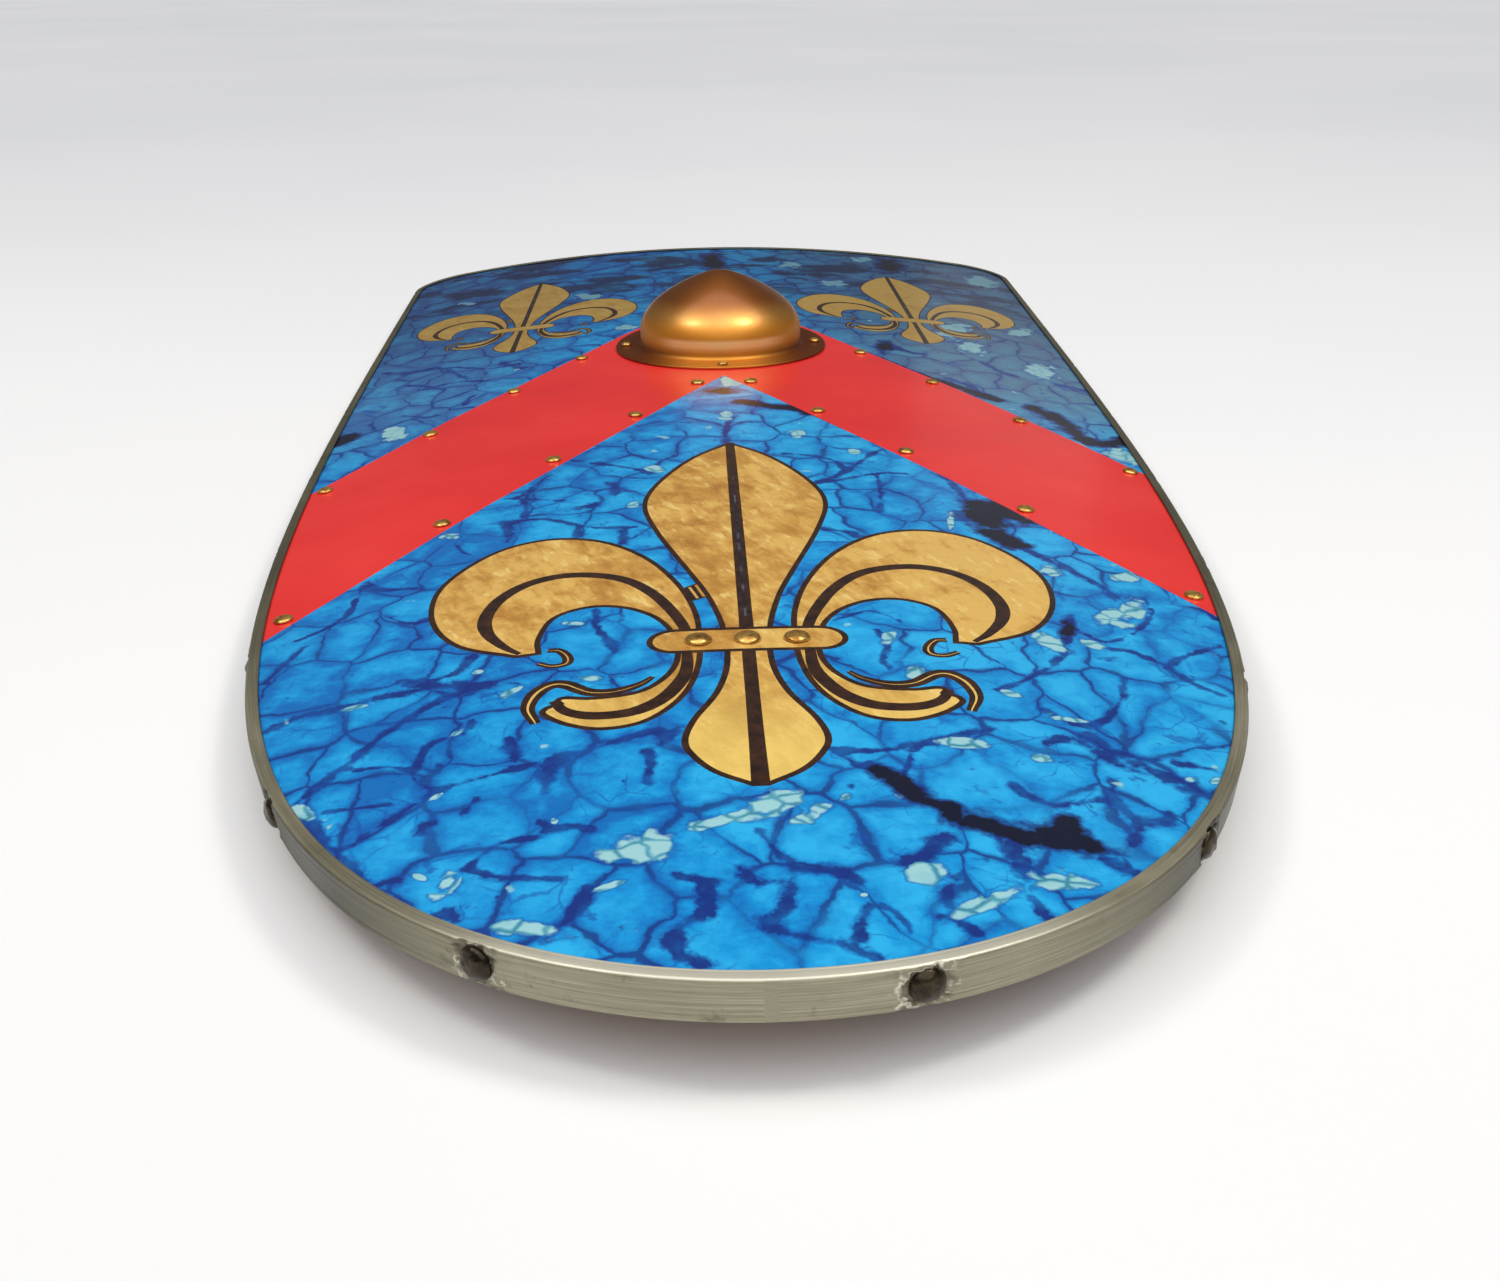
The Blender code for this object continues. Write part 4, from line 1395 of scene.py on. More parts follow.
def bowing() -> bpy.types.NodeTree:
    """Return the group that bends a flat piece, laid out as (across, up, height), onto the bow."""
    found = bpy.data.node_groups.get("bowing")
    if found:
        return found
    group = NodeGroup("bowing", "Geometry", {"Geometry": "Geometry", **FORM_INPUTS}, {"Geometry": "Geometry"})
    graph, source = group.graph, group.source
    across, up, height = graph.split(here(graph))
    radius = graph.add(source["Bow Radius"], height)
    angle = graph.math("DIVIDE", across, source["Bow Radius"])
    drop = graph.less(source["Face Height"], source["Bow Radius"])
    middle = graph.times(source["Length"], 0.5)
    bent = graph.join(graph.times(radius, graph.math("SINE", angle)), graph.less(up, middle),
                      graph.add(drop, graph.times(radius, graph.math("COSINE", angle))))
    return group.finish(Geometry=moved(graph, source["Geometry"], Position=bent))


def lattice(graph: Graph, rows: Any, columns: Any) -> tuple[Socket, Socket, Socket]:
    """Add a grid whose vertices know their row and column.

    Args:
        graph: Graph of a geometry tree.
        rows: Number of rows.
        columns: Number of columns.

    Returns:
        The grid, the row and the column of each vertex.
    """
    last_row, last_column = graph.less(rows, 1.0), graph.less(columns, 1.0)
    wires = {"Size X": last_row, "Size Y": last_column, "Vertices X": rows, "Vertices Y": columns}
    x, y, _ = graph.split(here(graph))
    row, column = (graph.math("ROUND", graph.add(part, graph.times(last, 0.5)))
                   for part, last in ((x, last_row), (y, last_column)))
    return graph.node("GeometryNodeMeshGrid", wires).outputs[0], row, column


def count_of(graph: Graph, geometry: Any) -> Socket:
    """Return how many points a mesh has."""
    return graph.node("GeometryNodeAttributeDomainSize", {0: geometry}, component="MESH").outputs["Point Count"]


def picked(graph: Graph, geometry: Any, index: Any, value: Any, data_type: str = "FLOAT_VECTOR") -> Socket:
    """Return the value that a mesh has at one of its points."""
    return graph.node("GeometryNodeSampleIndex", {"Geometry": geometry, "Value": value, "Index": index},
                      data_type=data_type, domain="POINT").outputs[0]


def turning() -> bpy.types.NodeTree:
    """Return the group that turns a profile, given as (radius, 0, height) points, about the Z axis."""
    found = bpy.data.node_groups.get("turning")
    if found:
        return found
    group = NodeGroup("turning", "Geometry", {"Profile": "Geometry", "Segments": 32}, {"Geometry": "Geometry"})
    graph = group.graph
    rows = count_of(graph, group.source["Profile"])
    columns = graph.add(group.source["Segments"], 1.0)
    grid, row, column = lattice(graph, rows, columns)
    radius, _, height = graph.split(picked(graph, group.source["Profile"], row, here(graph)))
    angle = graph.times(graph.math("DIVIDE", column, graph.less(columns, 1.0)), 2.0 * math.pi)
    place = graph.join(graph.times(radius, graph.math("COSINE", angle)),
                       graph.times(radius, graph.math("SINE", angle)), height)
    share = graph.math("DIVIDE", row, graph.less(rows, 1.0))
    return group.finish(Geometry=welded(graph, moved(graph, stored(graph, grid, "profile", share), Position=place)))


def grouped(graph: Graph, tree: bpy.types.NodeTree, wires: dict[str, Any]) -> Socket:
    """Use a node group in a tree and return its first output."""
    return graph.node("GeometryNodeGroup", wires, node_tree=tree).outputs[0]


def dressed(group: NodeGroup, geometry: Socket) -> bpy.types.NodeTree:
    """Bow a piece, make it smooth, realize it and give it its material.

    Args:
        group: The piece's tree.
        geometry: The flat piece.

    Returns:
        The finished tree.
    """
    graph = group.graph
    bent = grouped(graph, bowing(), {"Geometry": geometry, **{label: group.source[label] for label in FORM_INPUTS}})
    smooth = graph.node("GeometryNodeSetShadeSmooth", {"Geometry": bent}).outputs[0]
    real = graph.node("GeometryNodeRealizeInstances", {"Geometry": smooth}).outputs[0]
    done = graph.node("GeometryNodeSetMaterial", {"Geometry": real, "Material": group.source["Material"]})
    return group.finish(Geometry=done.outputs[0])


@dataclass
class PrintedBoard:
    """The bowed board: its face carries the print, its back and edges are plain wood."""

    form: ShieldForm = FORM
    chevron_top: float = 0.9234
    chevron_low: float = 0.6616
    grid: float = 0.009
    back_grid: float = 0.03
    flank_room: float = 0.006
    head_room: float = 0.012
    corner_room: float = 0.04
    corner_from: float = 0.23
    hole_steps: int = 72
    lilies: tuple[Lily, ...] = (Lily(0.0, 0.2308, 0.2561, 0.0026, 6),
                                Lily(-0.15221, 0.8467, 0.16273, 0.0011, 4),
                                Lily(0.15221, 0.8467, 0.16273, 0.0011, 4))
    marks: StoneMarks = field(default_factory=StoneMarks)

    def chevron(self) -> list[Vector]:
        """Return the chevron's contour, which runs out past both flanks."""
        reach = self.form.head_width
        drop = self.form.chevron_slope * reach
        return [Vector((0.0, self.chevron_top)), Vector((-reach, self.chevron_top - drop)),
                Vector((-reach, self.chevron_low - drop)), Vector((0.0, self.chevron_low)),
                Vector((reach, self.chevron_low - drop)), Vector((reach, self.chevron_top - drop))]

    def hand_hole(self) -> list[Vector]:
        """Return the contour of the hand hole."""
        step = 2.0 * math.pi / self.hole_steps
        return [Vector((self.form.hand_hole_radius * math.cos(i * step),
                        self.form.boss_up + self.form.hand_hole_radius * math.sin(i * step)))
                for i in range(self.hole_steps)]

    def grid_points(self, pitch: float) -> list[Vector]:
        """Return points spread over the sheet, so that its triangles follow the bow.

        Args:
            pitch: Distance between them.

        Returns:
            The points, well inside the outline.
        """
        points = []
        rows = int(self.form.length / pitch)
        for row in range(1, rows):
            up = row * pitch
            reach = self.form.half_width(up) - self.flank_room
            count = max(1, int(reach / pitch))
            shift = 0.5 * (row % 2)
            for i in range(-count, count + 1):
                across = (i + shift) * pitch
                room = self.head_room + self.corner_room * (abs(across) > self.corner_from)
                if abs(across) < reach and up < self.form.head_edge(across) - room:
                    points.append(Vector((across, up)))
        return points

    @staticmethod
    def triangles(contours: list[list[Vector]], loose: list[Vector]) -> tuple[list[Vector], list[Any], list[Any]]:
        """Cut the plane along the contours.

        Args:
            contours: Closed contours.
            loose: Points that become vertices as well.

        Returns:
            The vertices, the triangles, and for each triangle the contours that it lies in.
        """
        points: list[Vector] = []
        faces = []
        for contour in contours:
            order = list(range(len(points), len(points) + len(contour)))
            faces.append(order if Loop.turned(contour) > 0.0 else order[::-1])
            points += contour
        cut = delaunay_2d_cdt(points + loose, [], faces, 1, CUT_DISTANCE)
        return cut[0], cut[2], cut[5]

    @staticmethod
    def borders(faces: Sequence[Sequence[int]]) -> list[list[int]]:
        """Find the closed borders of a set of triangles, each in the triangles' own direction."""
        edges = {edge: True for face in faces for edge in zip(face, list(face[1:]) + [face[0]])}
        following = {start: end for start, end in edges if (end, start) not in edges}
        loops = []
        while following:
            start, current = following.popitem()
            loop = [start]
            while current != start:
                loop.append(current)
                current = following.pop(current)
            loops.append(loop)
        return loops

    def front(self) -> tuple[list[Vector], list[list[int]], list[int]]:
        """Cut the sheet into its inks.

        Returns:
            The vertices, the triangles, and the number of each triangle's ink.
        """
        areas = [Area(Ink.STONE, self.form.outline(self.form.strip_thickness + self.form.seat_gap)),
                 Area(Ink.RED, self.chevron())]
        for lily in self.lilies:
            areas += lily.areas()
        hole = len(areas)
        contours = [area.contour for area in areas] + [self.hand_hole()]
        flat, cut, inside = self.triangles(contours, self.grid_points(self.grid) + self.marks.points())
        kept = [(face, over) for face, over in zip(cut, inside) if 0 in over and hole not in over]
        used = sorted({index for face, _ in kept for index in face})
        renumber = {old: new for new, old in enumerate(used)}
        return ([flat[index] for index in used], [[renumber[index] for index in face] for face, _ in kept],
                [areas[max(over)].ink.value for _, over in kept])

    def back(self, contours: list[list[Vector]]) -> tuple[list[Vector], list[Any]]:
        """Fill the back sheet between the outline and the hand hole.

        Args:
            contours: The borders of the front.

        Returns:
            The vertices, of which the first are those of the borders, and the triangles.
        """
        flat, faces, inside = self.triangles(contours, self.grid_points(self.back_grid))
        outer = max(range(len(contours)), key=lambda i: len(contours[i]))
        return list(flat), [face for face, over in zip(faces, inside) if list(over) == [outer]]

    @staticmethod
    def walls(loops: list[list[int]], start: int) -> list[list[int]]:
        """Join the borders of the front to those of the back.

        Args:
            loops: The borders of the front.
            start: Number of the back's first vertex.

        Returns:
            The faces of the outer edge and of the hand hole.
        """
        faces = []
        for loop in loops:
            for i in range(len(loop)):
                after = (i + 1) % len(loop)
                faces.append([loop[after], loop[i], start + i, start + after])
            start += len(loop)
        return faces

    def build(self) -> bpy.types.Object:
        """Build the board: cut the sheet into its inks, close the wood behind it, and bend it all."""
        flat, front, inks = self.front()
        loops = self.borders(front)
        back_flat, back = self.back([[flat[i] for i in loop] for loop in loops])
        start = len(flat)
        walls = self.walls(loops, start)
        places = flat + back_flat
        heights = [0.0] * start + [-self.form.board_thickness] * len(back_flat)
        verts = [self.form.bowed(place.x, place.y, height) for place, height in zip(places, heights)]
        mesh = mesh_of("printed_board", verts, front + [[start + i for i in reversed(face)] for face in back] + walls)
        mesh.polygons.foreach_set("material_index", inks + [len(Ink)] * (len(back) + len(walls)))
        note(mesh, LAYOUT, places, vector=True)
        for label, values in self.marks.read(places).items():
            note(mesh, label, values)
        self.shade(mesh, len(front), len(back), places)
        for finish in (StonePrint(), RedBandPrint(), GoldPrint(), OutlineInk(), HairlineInk(), BackWood()):
            mesh.materials.append(finish.material())
        return new_piece("printed_board", mesh)

    def shade(self, mesh: bpy.types.Mesh, front: int, back: int, places: Sequence[Vector]) -> None:
        """Give the bowed sheets exact normals, and leave the edge to its own faces.

        Args:
            mesh: The board.
            front: Number of faces of the front.
            back: Number of faces of the back.
            places: Place of each vertex on the flat sheet.
        """
        mesh.polygons.foreach_set("use_smooth", [True] * len(mesh.polygons))
        normals: list[Vector] = []
        for polygon in mesh.polygons:
            if polygon.index < front + back:
                side = 1.0 if polygon.index < front else -1.0
                normals += [self.form.outward(places[vertex].x) * side for vertex in polygon.vertices]
            else:
                normals += [polygon.normal.copy() for _ in polygon.vertices]
        mesh.normals_split_custom_set(normals)


@dataclass
class RimStrip:
    """The folded steel strip: a rolled section that follows the outline, dented by its nails."""

    form: ShieldForm = FORM
    lip: float = 0.0055
    fold: float = 0.0013
    fold_steps: int = 6
    shrink: float = 0.00004
    lip_line: tuple[Point, ...] = ((0.00012, 0.00035), (0.0005, 0.0), (0.0011, 0.0), (0.00135, 0.0001), (0.0016, 0.0),
                                   (0.0025, 0.0), (0.0033, 0.0))
    tip_height: float = 0.0003
    wall_line: tuple[Point, ...] = ((0.0, 0.0047), (0.00009, 0.0045), (0.0, 0.0043), (0.0, 0.0034), (0.0, 0.0026),
                                    (0.0, 0.0018), (0.0, 0.0009))
    wall_fade: Point = (-0.0009, -0.0003)
    inner_rounding: float = 0.0003
    inner_tip: float = 0.0001
    fine_step: float = 0.0010
    coarse_step: float = 0.0045
    fine_reach: float = 0.016
    dent_radius: float = 0.0105
    dent_depth: float = 0.0011

    def section(self) -> list[Point]:
        """Return the closed section as (outwards, height over the middle of the board's edge)."""
        thickness = self.form.strip_thickness
        inner = self.form.board_thickness / 2.0 + self.form.seat_gap
        outer = inner + thickness - self.shrink
        upper = [(-self.lip, inner + self.tip_height)]
        upper += [(-self.lip + along, outer - depth) for along, depth in self.lip_line]
        for i in range(self.fold_steps + 1):
            angle = QUARTER * (1.0 - i / self.fold_steps)
            upper.append((-self.fold + self.fold * math.cos(angle) - self.shrink,
                          outer - self.fold + self.fold * math.sin(angle)))
        upper += [(-self.shrink - depth, height) for depth, height in self.wall_line]
        lower = [(out, -height) for out, height in reversed(upper)]
        near, round_off = -self.lip + self.inner_tip, self.inner_rounding
        inside = [(near, inner), (-thickness - round_off, inner), (-thickness, inner - round_off)]
        inside = [(out, -height) for out, height in inside] + inside[::-1]
        return upper + [(-self.shrink, 0.0)] + lower + inside

    def path(self, nails: Sequence[Vector]) -> tuple[list[Vector], list[Vector], list[float]]:
        """Walk the outline with short steps at the nails and longer ones between them.

        Args:
            nails: Where the nails are, as (across, up).

        Returns:
            The points, the outward direction at each, and the length walked to each.
        """
        loop = self.form.outline(0.0)
        count = len(loop)
        points, directions, walked = [], [], []
        total, carry = 0.0, 0.0
        for i, start in enumerate(loop):
            end = loop[(i + 1) % count]
            leg = (end - start).length
            done = carry
            tangents = [(loop[(k + 1) % count] - loop[k - 1]).normalized() for k in (i, (i + 1) % count)]
            while done < leg:
                spot = start.lerp(end, done / leg)
                along = tangents[0].lerp(tangents[1], done / leg).normalized()
                points.append(spot)
                directions.append(Vector((along.y, -along.x)))
                walked.append(total + done)
                near = min((spot - nail).length for nail in nails)
                done += self.fine_step if near < self.fine_reach else self.coarse_step
            carry = done - leg
            total += leg
        return points, directions, walked

    def recipe(self) -> Recipe:
        """Return the tree that sweeps the section along the path, dents it and bends it."""
        group = piece_group("rolled_strip", {"Section": "Object", "Nail Seats": "Object", "Middle": 0.006,
                                             "Dent Radius": 0.01, "Dent Depth": 0.001})
        graph, path = group.graph, group.source["Geometry"]
        section, seats = (graph.node("GeometryNodeObjectInfo", {"Object": group.source[label]}).outputs["Geometry"]
                          for label in ("Section", "Nail Seats"))
        path_count, section_count = count_of(graph, path), count_of(graph, section)
        strip, row, column = lattice(graph, graph.add(path_count, 1.0), graph.add(section_count, 1.0))
        on_path = graph.math("MODULO", row, path_count)
        on_section = graph.math("MODULO", column, section_count)
        side = picked(graph, path, on_path, held(graph, "facing", vector=True))
        out, _, height = graph.split(picked(graph, section, on_section, here(graph)))
        place = graph.vector("ADD", picked(graph, path, on_path, here(graph)), graph.scaled(side, out))
        place = graph.vector("ADD", place, graph.join(0.0, 0.0, graph.less(height, group.source["Middle"])))
        strip = stored(graph, strip, "along", picked(graph, path, on_path, held(graph, "walked"), "FLOAT"))
        strip = stored(graph, strip, "around", picked(graph, section, on_section, held(graph, "around"), "FLOAT"))
        strip = stored(graph, strip, "dent_way", side, vector=True)
        strip = stored(graph, strip, "dent", graph.fade(out, *self.wall_fade))
        swept = welded(graph, moved(graph, strip, Position=place))
        return Recipe(dressed(group, self.dented(group, swept, seats)))

    @staticmethod
    def dented(group: NodeGroup, strip: Socket, seats: Socket) -> Socket:
        """Press a crumpled dent into the strip's wall round each nail.

        Args:
            group: The strip's tree.
            strip: The swept strip, still flat.
            seats: Points where the nails are.

        Returns:
            The dented strip.
        """
        graph = group.graph
        wall, spot = held(graph, "dent"), here(graph)
        far = graph.node("GeometryNodeProximity", {0: seats, "Sample Position": spot},
                         target_element="POINTS").outputs["Distance"]
        crease = graph.fade(graph.noise(spot, 260.0, 3.0, 0.6, 0.8), 0.3, 0.7, -0.30, 0.30)
        share = graph.add(graph.math("DIVIDE", far, group.source["Dent Radius"]), crease)
        sunk = graph.times(graph.fade(share, 0.45, 1.0, 1.0, 0.0), wall)
        lifted = graph.times(graph.fade(share, 0.75, 1.0), graph.fade(share, 1.0, 1.3, 1.0, 0.0), wall)
        depth = graph.less(graph.times(lifted, 0.16), sunk)
        push = graph.scaled(held(graph, "dent_way", vector=True), graph.times(depth, group.source["Dent Depth"]))
        return stored(graph, moved(graph, strip, Offset=push), "dent", sunk)

    def build(self, nails: Sequence[Vector]) -> bpy.types.Object:
        """Build the strip.

        Args:
            nails: Where the nails are driven, as (across, up).

        Returns:
            The finished strip.
        """
        points, directions, walked = self.path(nails)
        host = mesh_of("rolled_strip", [(point.x, point.y, 0.0) for point in points])
        note(host, "facing", directions, vector=True)
        note(host, "walked", walked)
        corners = self.section()
        section = mesh_of("strip_section", [(out, 0.0, height) for out, height in corners])
        lengths = [0.0]
        for before, after in zip(corners, corners[1:]):
            lengths.append(lengths[-1] + math.dist(before, after))
        note(section, "around", lengths)
        middle = self.form.board_thickness / 2.0
        seats = mesh_of("nail_seats", [(nail.x, nail.y, -middle) for nail in nails])
        helpers = [new_piece(mesh.name, mesh) for mesh in (section, seats)]
        piece = self.recipe().cook(new_piece("rolled_strip", host), {
            "Section": helpers[0], "Nail Seats": helpers[1], "Middle": middle, "Dent Radius": self.dent_radius,
            "Dent Depth": self.dent_depth, "Material": BrushedSteel().material()})
        for helper in helpers:
            bpy.data.objects.remove(helper, do_unlink=True)
        return piece


@dataclass(frozen=True)
class Stud:
    """Sizes of one kind of domed stud."""

    head: float
    height: float
    shank: float
    length: float
    hammering: float = 0.00012
    brim: float = 0.0004
    sink: float = 0.0


class StudFactory:
    """Sets studs of one kind on the sheet: the head is turned by a rule and copied to each seat."""

    rings = 9
    segments = 28
    lean = 0.05
    dimple_waves = 330.0
    dimple_top = 0.56
    dimple_share = 4.0

    def __init__(self) -> None:
        """Make the tree once for all kinds."""
        group = piece_group("domed_studs", {"Head Radius": 0.005, "Head Height": 0.002, "Brim": 0.0004,
                                            "Shank Radius": 0.001, "Shank Length": 0.007, "Hammering": 0.0001,
                                            "Rings": self.rings, "Segments": self.segments, "Seed": 1})
        graph, source = group.graph, group.source
        stud = grouped(graph, turning(), {"Profile": self.profile(group), "Segments": source["Segments"]})
        upright = graph.node("FunctionNodeAlignRotationToVector", {"Vector": held(graph, "facing", vector=True)},
                             axis="Z").outputs[0]
        spin = graph.node("FunctionNodeRandomValue", {0: (-self.lean, -self.lean, 0.0),
                                                      1: (self.lean, self.lean, 6.283), "Seed": source["Seed"]},
                          data_type="FLOAT_VECTOR").outputs[0]
        turned = graph.node("FunctionNodeRotateRotation", {0: upright, 1: spin}, rotation_space="LOCAL").outputs[0]
        copies = graph.node("GeometryNodeInstanceOnPoints", {"Points": source["Geometry"], "Instance": stud,
                                                             "Rotation": turned}).outputs[0]
        real = graph.node("GeometryNodeRealizeInstances", {"Geometry": copies}).outputs[0]
        dimple = graph.less(graph.noise(here(graph), self.dimple_waves), self.dimple_top)
        depth = graph.times(graph.math("MINIMUM", dimple, 0.0), self.dimple_share, source["Hammering"])
        push = graph.scaled(graph.node("GeometryNodeInputNormal").outputs[0], depth)
        self.recipe = Recipe(dressed(group, moved(graph, real, Offset=push)))

    @staticmethod
    def profile(group: NodeGroup) -> Socket:
        """Return the stud's profile: shank, underside, brim, and a dome that rises from the brim."""
        graph, source = group.graph, group.source
        tip = graph.times(source["Shank Length"], -1.0)
        shank, head = source["Shank Radius"], source["Head Radius"]
        corners = ((0.0, tip), (shank, tip), (shank, 0.0), (head, 0.0))
        first = len(corners) + 1.0
        line = graph.node("GeometryNodeMeshLine", {"Count": graph.add(source["Rings"], first)}).outputs[0]
        index = graph.node("GeometryNodeInputIndex").outputs[0]
        share = graph.math("DIVIDE", graph.less(index, first - 1.0), source["Rings"], clamp=True)
        angle = graph.times(share, QUARTER)
        dome_radius = graph.times(head, graph.math("COSINE", angle))
        rise = graph.times(graph.less(source["Head Height"], source["Brim"]), graph.math("SINE", angle))
        radius = StudFactory.steps(graph, index, [corner[0] for corner in corners], dome_radius)
        height = StudFactory.steps(graph, index, [corner[1] for corner in corners], graph.add(source["Brim"], rise))
        return moved(graph, line, Position=graph.join(radius, 0.0, height))

    @staticmethod
    def steps(graph: Graph, index: Socket, values: Sequence[Any], rest: Socket) -> Socket:
        """Return one value for each of the first points, and the rule's value for the rest."""
        result = rest
        for i in reversed(range(len(values))):
            under = graph.node("FunctionNodeCompare", {0: index, 1: i + 0.5}, data_type="FLOAT",
                               operation="LESS_THAN").outputs[0]
            result = graph.node("GeometryNodeSwitch", {"Switch": under, "False": result, "True": values[i]},
                                input_type="FLOAT").outputs[0]
        return result

    def drive(self, name: str, stud: Stud, seats: Sequence[tuple[Vector, Vector]], finish: Finish,
              seed: int) -> bpy.types.Object:
        """Drive studs of one kind.

        Args:
            name: Name of the piece.
            stud: Sizes of the stud.
            seats: Place on the flat sheet, as (across, up, height), and the way the head faces, for each.
            finish: Finish of the studs.
            seed: Seed of their small differences.

        Returns:
            The studs as one piece.
        """
        mesh = mesh_of(name, [place - facing * stud.sink for place, facing in seats])
        note(mesh, "facing", [facing for _, facing in seats], vector=True)
        return self.recipe.cook(new_piece(name, mesh), {
            "Head Radius": stud.head, "Head Height": stud.height + stud.sink, "Brim": stud.brim,
            "Shank Radius": stud.shank, "Shank Length": stud.length, "Hammering": stud.hammering, "Seed": seed,
            "Rings": self.rings, "Segments": self.segments, "Material": finish.material()})


Seats = dict[str, tuple[Vector, Vector]]
UPWARD = Vector((0.0, 0.0, 1.0))


@dataclass(frozen=True)
class TackRow:
    """One row of tacks down each side of the chevron."""

    label: str
    from_boss: float
    count: int
    growth: float
    offset: float


@dataclass
class StudLayout:
    """Where the tacks, rivets and nails are driven: each method returns the seats by node name."""

    form: ShieldForm = FORM
    over_boss: float = 0.1715
    under_boss: float = 0.0903
    from_edge: float = 0.007
    from_flank: float = 0.0135
    tack_head: float = 0.00475
    rivet_circle: float = 0.06745
    bar_up: float = 0.2320
    bar_pitch: float = 0.0203
    nail_start: float = 0.043
    nail_count: int = 22
    nail_steps: tuple[int, int, int] = (20, 5, 4)
    flank_rounds: int = 60

    def chevron_tacks(self) -> Seats:
        """Return the seats of the tacks along the chevron's edges."""
        slope = self.form.chevron_slope
        edge_length = math.hypot(1.0, slope)
        inset = self.from_edge * edge_length
        seats = {}
        for row in (TackRow("lower", 0.0292, 5, 1.14, inset - self.under_boss),
                    TackRow("upper", 0.0214, 4, 1.08, self.over_boss - inset)):
            row_up = self.form.boss_up + row.offset
            for side, sign in (("left", -1.0), ("right", 1.0)):
                for i, station in enumerate(self.stations(row, edge_length), start=1):
                    place = Vector((sign * station, row_up - slope * station, self.form.seat_gap))
                    seats[f"tack_{row.label}_{side}_{i}"] = (place, UPWARD)
        return seats

    def stations(self, row: TackRow, edge_length: float) -> list[float]:
        """Space one row of tacks from the boss's flange to the flank.

        Args:
            row: The row.
            edge_length: Length of the chevron's edge for each metre across.

        Returns:
            Distance of each tack from the centre line.
        """
        slope = self.form.chevron_slope
        clear = self.form.boss_flange_radius + self.tack_head + row.from_boss
        nearest = row.offset * slope / edge_length ** 2
        reach = math.sqrt(clear ** 2 - (row.offset / edge_length) ** 2) / edge_length
        last = self.form.head_width / 2.0
        for _ in range(self.flank_rounds):
            up = self.form.boss_up + row.offset - slope * last
            last = 0.5 * (last + self.form.half_width(up) - self.from_flank)
        gaps = [row.growth ** i for i in range(row.count - 1)]
        first = nearest + reach
        stations = [first + (last - first) * sum(gaps[:i]) / sum(gaps) for i in range(row.count)]
        return [nearest - reach] * (nearest > reach) + stations

    def bar_rivets(self) -> Seats:
        """Return the seats of the rivets on the large lily's crossbar."""
        return {f"bar_rivet_{i + 1}": (Vector(((i - 1) * self.bar_pitch, self.bar_up, self.form.seat_gap)), UPWARD)
                for i in range(3)}

    def boss_rivets(self, flange_top: float) -> Seats:
        """Return the seats of the rivets through the boss's flange."""
        return {f"boss_rivet_{i + 1}": (Vector((self.rivet_circle * math.cos(QUARTER * i), self.form.boss_up
                                                + self.rivet_circle * math.sin(QUARTER * i), flange_top)), UPWARD)
                for i in range(4)}

    def rim_nails(self) -> Seats:
        """Return the seats of the nails in the rim's wall."""
        flank, corner, head = self.nail_steps
        solid = ShieldForm(flank_steps=flank, corner_steps=corner, head_steps=head)
        loop = solid.outline(0.0)
        pairs = list(zip(loop, loop[1:] + loop[:1]))
        whole = sum((after - before).length for before, after in pairs)
        seats = {}
        for i in range(self.nail_count):
            wanted = (self.nail_start + whole * i / self.nail_count) % whole
            for before, after in pairs:
                length = (after - before).length
                if wanted <= length:
                    break
                wanted -= length
            along = (after - before).normalized()
            facing = Vector((along.y, -along.x, 0.0))
            spot = before + along * wanted
            place = Vector((spot.x, spot.y, -self.form.board_thickness / 2.0)) + facing * self.form.seat_gap
            seats[f"rim_nail_{i + 1:02d}"] = (place, facing)
        return seats


